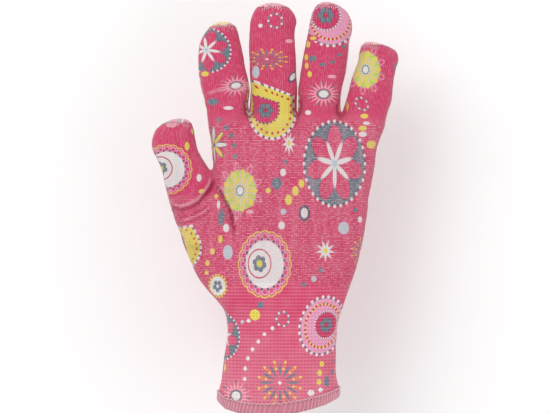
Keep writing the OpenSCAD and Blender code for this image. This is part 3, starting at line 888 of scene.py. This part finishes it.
class Knit:
    """Height of the knitted surface: courses on the hand, wales up the fingers, eyelets in the cuff."""

    def __init__(self, tree):
        self.vector = read_number(tree, "knit", "Vector")
        x, y, zone = split(tree, self.vector)
        self.finger = zone.times_plus(1, 0, clamp=True)
        self.cuff = zone.times_plus(-1, 0, clamp=True)
        zigzag = (x * (1 / HAND_WALE)).node("PINGPONG", 0.5)
        hand_rows = wave(y + zigzag * (HAND_COURSE * 0.7), HAND_COURSE)
        hand_wave = hand_rows.times_plus(0.75, 0) + wave(x, HAND_WALE) * 0.25
        finger_wave = wave(x, FINGER_WALE).times_plus(0.7, 0) + wave(y, HAND_COURSE) * 0.3
        self.eyelets = wave(x, CUFF_PITCH).times_plus(0.5, 0) + wave(y, CUFF_PITCH) * 0.5
        self.ridges = wave(y, CUFF_PITCH)
        cuff_wave = self.ridges * 0.6 + wave(x, CUFF_PITCH) * 0.4
        plain = (finger_wave - hand_wave) * self.finger + hand_wave
        self.height = (cuff_wave - plain) * self.cuff + plain
        self.up = y
        stretched = tree.nodes.new("ShaderNodeCombineXYZ")
        tree.links.new((x * self.finger.times_plus(0.5, 0.55)).socket, stretched.inputs[0])
        tree.links.new((y * self.finger.times_plus(-0.75, 1.15)).socket, stretched.inputs[1])
        self.dashes = speckle(tree, Sum(tree, stretched.outputs[0]), 1.0, 1.0)


def add_looks(tree, shader, colour, height, depth):
    """Gives a shader its colour and a bump of so many metres."""
    tree.links.new(colour.socket, shader.inputs["Base Color"])
    bump = tree.nodes.new("ShaderNodeBump")
    bump.inputs["Strength"].default_value = 0.7
    bump.inputs["Distance"].default_value = depth
    tree.links.new(height.socket, bump.inputs["Height"])
    tree.links.new(bump.outputs["Normal"], shader.inputs["Normal"])


def knit_material():
    """Printed knit: white yarn shows through the stitches, with shade painted into the gaps between them,
    the cuff's eyelets and the creases, and a paler colour painted on ridges.
    """
    material, tree, shader = new_material("printed_knit", 0.85, sheen=0.2, gloss=0.2)
    flowers = Print(tree)
    knit = Knit(tree)
    cloudy = speckle(tree, knit.vector, 0.11)
    faded = knit.up.times_plus(-0.0052, -0.28, clamp=True) + knit.finger.times_plus(-0.07, 0.07)
    base = mixed(tree, cloudy.times_plus(1.4, -0.62, clamp=True) * 0.5, PINK, MAGENTA)
    colour = flowers.colour(mixed(tree, faded + cloudy.times_plus(0.4, -0.2), base, PINK_PALE))
    rows = knit.height.times_plus(1.5, 0.1, clamp=True)
    dash = rows * knit.dashes.times_plus(4.4, -1.85, clamp=True) * knit.cuff.times_plus(-1, 1)
    colour = mixed(tree, dash * knit.finger.times_plus(-0.42, 0.7), colour, YARN)
    colour = mixed(tree, knit.ridges.times_plus(0.8, 0.1, clamp=True) * knit.cuff * 0.16, colour, YARN)
    # Painted shade in the gaps between stitches and in the cuff's eyelets.
    gap_shade = knit.height.times_plus(-1.8, -0.5, clamp=True) * knit.cuff.times_plus(-0.3, 0.3)
    eyelet_shade = knit.eyelets.times_plus(-9, -7.0, clamp=True) * knit.cuff * 0.85
    colour = mixed(tree, gap_shade.node("MAXIMUM", eyelet_shade), colour, PINK_SHADE)
    # Painted shade in creases, valleys, seam holes and the walls between fingers, and a paler colour along
    # ridges that is partly stretched knit and partly painted highlight.
    painted_shade_and_pale = read_number(tree, "shade")
    colour = mixed(tree, painted_shade_and_pale.times_plus(0.7, 0, clamp=True), colour, PINK_SHADE)
    colour = mixed(tree, painted_shade_and_pale.times_plus(-0.85, 0, clamp=True), colour, PINK_PALE)
    add_looks(tree, shader, colour, knit.height, 0.00025)
    return material


def coating_material():
    """A thin milky film over the print, with a slight gloss and the knit showing faintly."""
    material, tree, shader = new_material("coating", 0.42, gloss=0.5, film=0.15)
    flowers = Print(tree)
    knit = Knit(tree)
    milk = speckle(tree, knit.vector, 0.35, 4.0)
    colour = flowers.colour(mixed(tree, milk * 0.2, PINK, PINK_PALE))
    colour = mixed(tree, milk.times_plus(0.5, 0.17), colour, (0.86, 0.66, 0.70))
    # Painted shade in the creases under the film.
    colour = mixed(tree, read_number(tree, "shade").times_plus(0.4, 0, clamp=True), colour, PINK_SHADE)
    crinkle = speckle(tree, knit.vector, 0.9, 5.0) * 1.2 + knit.height * 0.35
    add_looks(tree, shader, colour, crinkle, 0.00018)
    return material


def yarn_material(name, light, dark, roughness, pitch):
    """Twisted thread or yarn: a fine slanted stripe with a few stray fibres."""
    material, tree, shader = new_material(name, roughness, sheen=0.2, gloss=0.3)
    x, y, z = split(tree, own_place(tree))
    twist = wave(x + y * 0.6 + z * 0.8, pitch)
    stray = speckle(tree, own_place(tree), 900.0)
    colour = mixed(tree, twist.times_plus(0.3, 0.3) + stray * 0.4, light, dark)
    add_looks(tree, shader, colour, twist, 0.00012)
    return material


def lining_material():
    """The inside of the knit: the print only tints it."""
    material, tree, shader = new_material("lining", 0.9, sheen=0.2, gloss=0.2)
    knit = Knit(tree)
    fibres = speckle(tree, knit.vector, 0.8)
    colour = mixed(tree, fibres, (0.72, 0.36, 0.44), (0.80, 0.56, 0.60))
    # Painted shade in the low places between the stitches.
    colour = mixed(tree, knit.height.times_plus(-1.4, -0.5, clamp=True) * 0.5, colour, PINK_SHADE)
    add_looks(tree, shader, colour, knit.height, 0.00022)
    return material


# ------------------------------------------------------------------ pieces


class Skin:
    """The finished skin as arrays, with what each point and face needs to know."""

    def __init__(self, mesh):
        self.points = points_of(mesh)
        self.normals = normals_of(mesh)
        self.corners = field_of(mesh.loops, "vertex_index", 1, np.int32).reshape(-1, 4)
        self.face_edges = field_of(mesh.loops, "edge_index", 1, np.int32).reshape(-1, 4)
        self.edge_ends = field_of(mesh.edges, "vertices", 2, np.int32)


def segment_of(points, part):
    """Which of its finger's skin pieces a point is on: 0 at the root, 1 in the middle, 2 at the end."""
    segment = np.zeros(len(points), int)
    for number, name in enumerate(NAMES):
        if name == "hand":
            segment[(part == 0) & (points[:, 1] < CUFF_START)] = 1
            continue
        mine = part == number
        for step, cut in enumerate(CUTS[name]):
            joint_name, distance = cut
            segment[mine & (along(joint_name, points) > distance)] = step + 1
    return segment


def make_mesh(name, points, faces, normals):
    mesh = bpy.data.meshes.new(name)
    mesh.from_pydata((points * MM).tolist(), [], faces.tolist())
    mesh.polygons.foreach_set("use_smooth", np.ones(len(mesh.polygons), bool))
    mesh.update()
    mesh.normals_split_custom_set_from_vertices(normals.tolist())
    return mesh


def knit_places(points, normals, mid, half, part):
    """Where each point is on the knitting, with 1 on the fingers, 0 on the hand and -1 on the cuff."""
    down_side = np.clip(mid + SIDE_FROM * half - points[:, 2], 0, 0.5 * half)
    plan = points[:, :2] + normals[:, :2] * ROUND_SIDE * down_side[:, None]
    bowed = points[:, 1] - 5.0 * np.cos(points[:, 0] / 30)
    zone = smooth((points[:, 1] - 46) / 8) - smooth((CUFF_START - bowed) / 5)
    zone = np.where(part == THUMB_NUMBER, smooth((points[:, 1] - 4) / 4), zone)
    lean = np.zeros(len(points))
    for number, name in enumerate(NAMES[1:], 1):
        axis = hinge_axis(f"{name}_tip_bend")
        lean[part == number] = axis[1] / axis[0]
    x = plan[:, 0] + (points[:, 1] - ROOT_LINE) * lean * np.clip(zone, 0, 1)
    return np.column_stack([x, plan[:, 1], zone])


def web_walls(skin, chosen):
    """Walls down from the skin's edges where neighbouring tubes part, and the skin point at each corner."""
    ends = skin.edge_ends[skin.web_edges[chosen[skin.web_faces]]]
    top = skin.points[ends]
    low = top.copy()
    low[:, :, 2] = skin.mid[ends]
    wall = np.concatenate([top[:, 0], top[:, 1], low[:, 1], low[:, 0]])
    flat = np.cross(top[:, 1] - top[:, 0], low[:, 0] - top[:, 0])
    flat /= np.maximum(np.linalg.norm(flat, axis=1), 1e-6)[:, None]
    return wall, np.tile(flat, (4, 1)), ends[:, [0, 1, 1, 0]].T.ravel()


def build_piece(name, skin, chosen, offset, material, curtains=True, inside=None):
    """One piece of skin or coating from the chosen faces, with walls where neighbouring tubes part."""
    faces = skin.corners[chosen]
    used, faces = np.unique(faces, return_inverse=True)
    faces = faces.reshape(-1, 4)
    points = skin.points[used] + skin.normals[used] * offset[used][:, None]
    normals = skin.normals[used]
    back, palm = skin.back[used], skin.palm[used]
    knit, shade = skin.knit[used], skin.shade[used]
    side = skin.palm_side[chosen] if curtains else np.ones(chosen.sum(), bool)
    if curtains:
        wall, wall_normals, corner = web_walls(skin, chosen)
        n = len(wall) // 4
        wall_faces = np.arange(n)[:, None] + np.array([0, n, 2 * n, 3 * n]) + len(points)
        points, normals = np.concatenate([points, wall]), np.concatenate([normals, wall_normals])
        faces = np.concatenate([faces, wall_faces])
        back, palm = np.concatenate([back, skin.back[corner]]), np.concatenate([palm, skin.palm[corner]])
        knit = np.concatenate([knit, skin.knit[corner]])
        shade = np.concatenate([shade, np.full(4 * n, WALL_SHADE)])
        side = np.concatenate([side, np.zeros(n, bool)])
    count = len(faces)
    if inside is not None:
        inner = points - normals * KNIT_T
        faces = np.concatenate([faces, faces[:, ::-1] + len(points)])
        points = np.concatenate([points, inner])
        normals = np.concatenate([normals, -normals])
        back, palm, knit, shade, side = [np.concatenate([a, a]) for a in (back, palm, knit, shade, side)]
    mesh = make_mesh(name, points, faces, normals)
    moved = palm[faces]
    moved -= np.floor((moved.mean(axis=1) - PRINT_FROM) / PRINT_SPAN)[:, None] * PRINT_SPAN
    plan = np.where(side[:, None, None], moved, back[faces])
    paint_motifs(mesh, plan.reshape(-1, 2), plan.mean(axis=1), np.repeat(np.arange(len(faces)), 4))
    store(mesh, "knit", "FLOAT_VECTOR", "POINT", knit)
    store(mesh, "shade", "FLOAT", "POINT", shade)
    mesh.materials.append(material)
    if inside is not None:
        mesh.materials.append(inside)
        which = (np.arange(len(faces)) >= count).astype(np.int32)
        mesh.polygons.foreach_set("material_index", which)
    return new_object(name, mesh)


# Bending zones of the skin: the joint, and how far before and after its line the fabric bends.
ZONES = {
    "index": [("root", 10.5, 10.5), ("mid", 10.0, 10.0), ("tip", 5.5, 6.0)],
    "middle": [("root", 10.5, 10.5), ("mid", 11.0, 9.0), ("tip", 7.0, 7.0)],
    "ring": [("root", 10.5, 10.5), ("mid", 11.0, 9.0), ("tip", 7.0, 7.0)],
    "little": [("root", 8.5, 8.5), ("mid", 8.5, 8.0), ("tip", 4.4, 5.0)],
    "thumb": [("root", 8.5, 8.5), ("tip", 8.0, 9.0)],
}
# Where the skin is cut between two bending zones, as a joint and a distance past its line.
CUTS = {
    name: [(f"{name}_{part}_bend", -before) for part, before, after in zones[1:]]
    for name, zones in ZONES.items()
}
SKIN_NAMES = ["base", "middle", "end"]


def bend(obj, finger, step):
    """Bakes a piece's transform and works out where one joint's zone of its finger starts and ends; the
    piece is not bent here.
    """
    part, before, after = ZONES[finger][step]
    name = f"{finger}_{part}_bend"
    axis, place = hinge_axis(name), hinge(name)
    ahead = np.array([axis[1], -axis[0], 0])
    start, end = (place - ahead * before) * MM, (place + ahead * after) * MM
    joint(name)["parent"]
    joint(name)["child"]
    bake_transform(obj)
    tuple(start)
    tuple(end)


def tube_mesh(bm, line, radius, closed=False, sides=6):
    """A thin round tube along a line of points, in millimetres."""
    line = np.asarray(line, float)
    ahead = np.roll(line, -1, 0) - np.roll(line, 1, 0)
    if not closed:
        ahead[0], ahead[-1] = line[1] - line[0], line[-1] - line[-2]
    rows = []
    for point, way in zip(line, ahead):
        way = Vector(way).normalized()
        across = way.orthogonal() if abs(way.z) > 0.9 else way.cross(Vector((0, 0, 1))).normalized()
        up = way.cross(across).normalized()
        row = []
        for i in range(sides):
            turn = 2 * math.pi * i / sides
            place = Vector(point) + radius * (math.cos(turn) * across + math.sin(turn) * up)
            row.append(bm.verts.new(place * MM))
        rows.append(row)
    pairs = list(zip(rows, rows[1:])) + ([(rows[-1], rows[0])] if closed else [])
    for low, high in pairs:
        for i in range(sides):
            j = (i + 1) % sides
            face = bm.faces.new((low[i], low[j], high[j], high[i]))
            face.smooth = True
    if not closed:
        bm.faces.new(rows[0][::-1])
        bm.faces.new(rows[-1])


def object_from(bm, name, material):
    bmesh.ops.recalc_face_normals(bm, faces=bm.faces)
    mesh = bpy.data.meshes.new(name)
    bm.to_mesh(mesh)
    bm.free()
    mesh.materials.append(material)
    return new_object(name, mesh)


def cuff_point(turn, y, off):
    """A point round the cuff at a distance off its skin, with the hem's curve."""
    left, right = outline_at(HAND, y)
    mid, half = hand_height(y)
    across, upward = round_corner(turn, HAND_BLUNT)
    x = (left + right) / 2 + ((right - left) / 2 + off) * across
    z = mid + (half + off) * upward
    return hem_curve(np.array([[x, y, z]]))[0]


def hem_roll(knit):
    """The turned end of the cuff, as a soft and slightly puckered roll."""
    turns = np.linspace(0, 2 * np.pi, 220, endpoint=False)
    section = [
        (5.2, -0.25), (5.0, 0.35), (3.0, 0.5), (1.0, 0.5), (-0.3, 0.2), (-0.7, -0.7), (-0.2, -1.7),
        (1.5, -2.1), (5.0, -2.0)]
    points, faces = [], []
    for i, turn in enumerate(turns):
        around = Vector((math.cos(turn), math.sin(turn), 0))
        pucker = 0.14 * math.sin(turn * 55) + 0.2 * noise.noise(around * 5)
        for up, off in section:
            points.append(cuff_point(turn, HEM + up, off + pucker * (off > 0)))
    wide = len(section)
    for i in range(len(turns)):
        for k in range(wide - 1):
            a, b = i * wide + k, ((i + 1) % len(turns)) * wide + k
            faces.append((a, a + 1, b + 1, b))
    points = np.array(points)
    bm = bmesh.new()
    verts = [bm.verts.new(p * MM) for p in points]
    for face in faces:
        bm.faces.new([verts[i] for i in face]).smooth = True
    roll = object_from(bm, "hem_roll", knit)
    plan = np.column_stack([points[:, 0] * 3.1, points[:, 1], np.full(len(points), 1.0)])
    store(roll.data, "knit", "FLOAT_VECTOR", "POINT", plan)
    store(roll.data, "shade", "FLOAT", "POINT", np.full(len(points), -0.5))
    return roll


def hem_stitches(thread):
    """The overlock: slanted stitches round the roll, and a chain of loops above them."""
    bm = bmesh.new()
    wrap = [(5.3, 0.4), (3.6, 0.55), (1.8, 0.6), (0.2, 0.45), (-0.75, -0.3)]
    for turn in np.linspace(0, 2 * np.pi, OVERLOCK_STITCHES, endpoint=False):
        line = [cuff_point(turn + 0.03 * (1 - up / 5), HEM + up, off) for up, off in wrap]
        tube_mesh(bm, line, OVERLOCK_R)
    chain = []
    for i, turn in enumerate(np.linspace(0, 2 * np.pi, CHAIN_POINTS, endpoint=False)):
        loop = i * math.pi / 2
        chain.append(cuff_point(turn, HEM + 5.5 + 0.45 * math.sin(loop), 0.65 + 0.2 * math.cos(loop)))
    tube_mesh(bm, chain, CHAIN_R, closed=True)
    return object_from(bm, "hem_stitches", thread)


def build_hem(knit, thread):
    roll, stitches = hem_roll(knit), hem_stitches(thread)
    for obj in (roll, stitches):
        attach(obj, "hand")
    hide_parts("hem_overlock")


def build_elastic(material):
    """Elastic yarns laid round the inside of the cuff."""
    low, high = node_box("cuff_elastic")
    bm = bmesh.new()
    for y in np.linspace(low[1], high[1], ELASTIC_YARNS):
        turns = np.linspace(0, 2 * np.pi, 120, endpoint=False)
        line = [cuff_point(turn, y + 0.25 * math.sin(9 * turn), -KNIT_T - 0.75) for turn in turns]
        tube_mesh(bm, line, ELASTIC_R, closed=True)
    obj = object_from(bm, "elastic_yarns", material)
    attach(obj, "hand")
    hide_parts("cuff_elastic")


def build_tip_stitches(tree, finger, outline, material):
    """A short row of wraps that close the end of a finger, seated on its skin."""
    end = outline[-1][0]
    middle = (outline[-1][1] + outline[-1][2]) / 2
    bm = bmesh.new()
    for i in range(TIP_STITCHES):
        aside = i - TIP_STITCHES // 2
        x = middle + aside * 1.05
        y = end - 2.6 - 0.05 * aside ** 2 + 1.1 * noise.noise(Vector((i * 1.7, end, 0)))
        tilt = 0.3 + 1.5 * noise.noise(Vector((i * 2.3, 0, end)))
        line = []
        for step in (-1, -0.5, 0, 0.5, 1):
            above = Vector((x + tilt * step, y + 0.75 * step, 60))
            hit, normal = tree.ray_cast(above, Vector((0, 0, -1)))[:2]
            if hit:
                line.append(np.array(hit) + np.array(normal) * (0.32 - 0.45 * step * step))
        if len(line) == 5:
            tube_mesh(bm, line, TIP_STITCH_R)
    obj = object_from(bm, f"{finger}_closing_stitch", material)
    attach(obj, f"{finger}_tip")
    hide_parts(f"{finger}_tip_stitch")


def open_cuff(mesh):
    """Takes away the cap at the end of the cuff."""
    bm = bmesh.new()
    bm.from_mesh(mesh)
    cap = [f for f in bm.faces if f.normal.y < -0.75 and f.calc_center_median().y < HEM + 3]
    bmesh.ops.delete(bm, geom=cap, context="FACES")
    bm.to_mesh(mesh)
    bm.free()


def finished_skin():
    mesh = joined_skin()
    open_cuff(mesh)
    set_points(mesh, brought_together(points_of(mesh)))
    points, normals = points_of(mesh), normals_of(mesh)
    part = part_of(points)
    points, shade = folded(points, normals, height_at(points, part)[0], part)
    set_points(mesh, hem_curve(points))
    skin = Skin(mesh)
    middles = skin.points[skin.corners].mean(axis=1)
    skin.face_part = part_of(middles)
    skin.face_segment = segment_of(middles, skin.face_part)
    skin.part = part_of(skin.points)
    skin.mid, skin.half = height_at(skin.points, skin.part)
    skin.shade = shade
    skin.back, skin.palm = print_plan(skin.points, skin.normals, skin.mid, skin.half)
    skin.knit = knit_places(skin.points, skin.normals, skin.mid, skin.half, skin.part)
    face_mid, face_half = height_at(middles, skin.face_part)
    skin.palm_side = middles[:, 2] < face_mid - 0.12 * face_half
    skin.web_edges, skin.web_faces = web_edges(skin)
    skin.tree = tree_of(mesh)
    return skin


def web_edges(skin):
    """Edges between two fingers' skins or along the thumb's, each paired with the faces beside it."""
    faces = np.repeat(np.arange(len(skin.corners)), 4)
    edges = skin.face_edges.ravel()
    order = np.argsort(edges, kind="stable")
    edges, faces = edges[order], faces[order]
    pair = np.flatnonzero(edges[:-1] == edges[1:])
    one, two = skin.face_part[faces[pair]], skin.face_part[faces[pair + 1]]
    by_thumb = (one == THUMB_NUMBER) | (two == THUMB_NUMBER)
    web = (one != two) & (((one > 0) & (two > 0)) | by_thumb)
    pair = pair[web]
    return np.concatenate([edges[pair], edges[pair]]), np.concatenate([faces[pair], faces[pair + 1]])


def tree_of(mesh):
    bm = bmesh.new()
    bm.from_mesh(mesh)
    tree = BVHTree.FromBMesh(bm)
    bm.free()
    return tree


# How far the coating climbs onto the back at each fingertip, and more towards which side.
TIP_WRAP = {
    "index": (1.05, -0.5), "middle": (1.1, 0.0), "ring": (0.8, 0.5), "little": (1.0, 0.4),
    "thumb": (1.1, -0.5),
}


def coated(skin):
    """Which points the coating covers, and how far it stands off there."""
    x, y = skin.points[:, 0], skin.points[:, 1]
    level = (skin.points[:, 2] - skin.mid) / skin.half
    rim = -0.18 + 0.07 * uneven(skin.points, 7, 21.0)
    for number, name in enumerate(NAMES[1:], 1):
        outline = OUTLINES[name]
        climb, aside = TIP_WRAP[name]
        left, right = outline_at(outline, np.minimum(y, outline[-1][0] - 6))
        across = (2 * x - left - right) / (right - left)
        near = smooth((y - outline[-1][0] + 4.6) / 3.4)
        edge = smooth(across * np.sign(aside) * 2 - 1.1) * abs(aside)
        rim = rim + np.where(skin.part == number, climb * near + edge, 0)
    start = smooth((y - CUFF_START - 1.5 - 1.5 * uneven(skin.points, 9, 31.0)) / 2)
    depth = np.clip((rim - level) / 0.45, 0, 1) * start
    return depth > 0, 0.06 + (COAT_T - 0.06) * smooth(depth)


def piece_name(part, segment):
    if part == 0:
        return "cuff" if segment else "hand"
    names = SKIN_NAMES if len(ZONES[NAMES[part]]) == 3 else ["base", "end"]
    return f"{NAMES[part]}_{names[segment]}"


def cad_nodes(part, segment, layer):
    if part == 0 and segment:
        return [] if layer == "coating" else ["cuff_knit"]
    if part == 0:
        return [f"{name}_{layer}" for name in ("four_finger_palm", "five_finger_palm", "thumb_gusset")]
    return [f"{NAMES[part]}_{ZONES[NAMES[part]][segment][0]}_{layer}"]


def build_glove():
    knit, coat, lining = knit_material(), coating_material(), lining_material()
    thread = yarn_material("thread", (0.86, 0.60, 0.65), (0.76, 0.34, 0.44), 0.7, 0.0011)
    elastic = yarn_material("elastic", (0.82, 0.76, 0.74), (0.66, 0.56, 0.56), 0.55, 0.0009)
    skin = finished_skin()
    covered, stand_off = coated(skin)
    flat = np.zeros(len(skin.points))
    under = covered[skin.corners].all(axis=1)
    for part, name in enumerate(NAMES):
        for segment in range(2 if part == 0 else len(ZONES[name])):
            mine = (skin.face_part == part) & (skin.face_segment == segment)
            title = piece_name(part, segment)
            inside = lining if part == 0 else None
            shell = build_piece(f"{title}_skin", skin, mine, flat, knit, inside=inside)
            layers = [("knit", "cuff_knit" if title == "cuff" else "printed_knit", shell)]
            if (mine & under).any() and title != "cuff":
                film = build_piece(f"{title}_coating", skin, mine & under, stand_off, coat, curtains=False)
                layers.append(("coating", "coating", film))
            for layer, slot, obj in layers:
                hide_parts(*cad_nodes(part, segment, layer))
                if part == 0:
                    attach(obj, "hand")
                else:
                    bend(obj, name, segment)
    build_hem(knit, thread)
    build_elastic(elastic)
    for finger, outline in OUTLINES.items():
        build_tip_stitches(skin.tree, finger, outline, thread)


# ------------------------------------------------------------------ stage, light and camera


def build_stage():
    """A pale floor, far enough below the glove for its fingers to bend."""
    bm = bmesh.new()
    bmesh.ops.create_grid(bm, x_segments=2, y_segments=2, size=3.0)
    material, tree, shader = new_material("floor", 0.95, gloss=0.1)
    faint = speckle(tree, own_place(tree), 3.0)
    colour = mixed(tree, faint, (0.97, 0.97, 0.97), (0.985, 0.985, 0.985))
    tree.links.new(colour.socket, shader.inputs["Base Color"])
    floor = object_from(bm, "floor", material)
    floor.location.z = FLOOR_Z * MM
    floor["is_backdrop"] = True


def area_light(name, place, size, power):
    data = bpy.data.lights.new(name, "AREA")
    data.size = size
    data.energy = power
    light = bpy.data.objects.new(name, data)
    light.location = place
    light.rotation_euler = (-Vector(place)).to_track_quat("-Z", "Y").to_euler()
    bpy.context.scene.collection.objects.link(light)


def build_light():
    """Soft studio light, a little stronger from the upper left."""
    world = bpy.data.worlds.new("studio")
    world.use_nodes = True
    world.node_tree.nodes["Background"].inputs["Color"].default_value = (1, 1, 1, 1)
    world.node_tree.nodes["Background"].inputs["Strength"].default_value = WORLD_LIGHT
    bpy.context.scene.world = world
    area_light("key", (-0.55, 0.6, 1.2), 0.8, KEY_LIGHT)
    area_light("fill", (0.8, -0.4, 1.0), 1.0, FILL_LIGHT)


def build_camera():
    """Straight above the glove, with the fingertips up."""
    data = bpy.data.cameras.new("camera")
    data.lens = LENS
    camera = bpy.data.objects.new("camera", data)
    away = VIEW_ACROSS * MM * data.lens / data.sensor_width
    camera.location = (0, 0, away + VIEW_HEIGHT * MM)
    bpy.context.scene.collection.objects.link(camera)
    bpy.context.scene.camera = camera
    bpy.context.scene.view_settings.view_transform = "Standard"


def plain(box):
    return [[float(v) for v in corner] for corner in box]


build_glove()
build_stage()
build_light()
build_camera()
{"cad": plain(start_bounds), "visual": plain(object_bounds())}
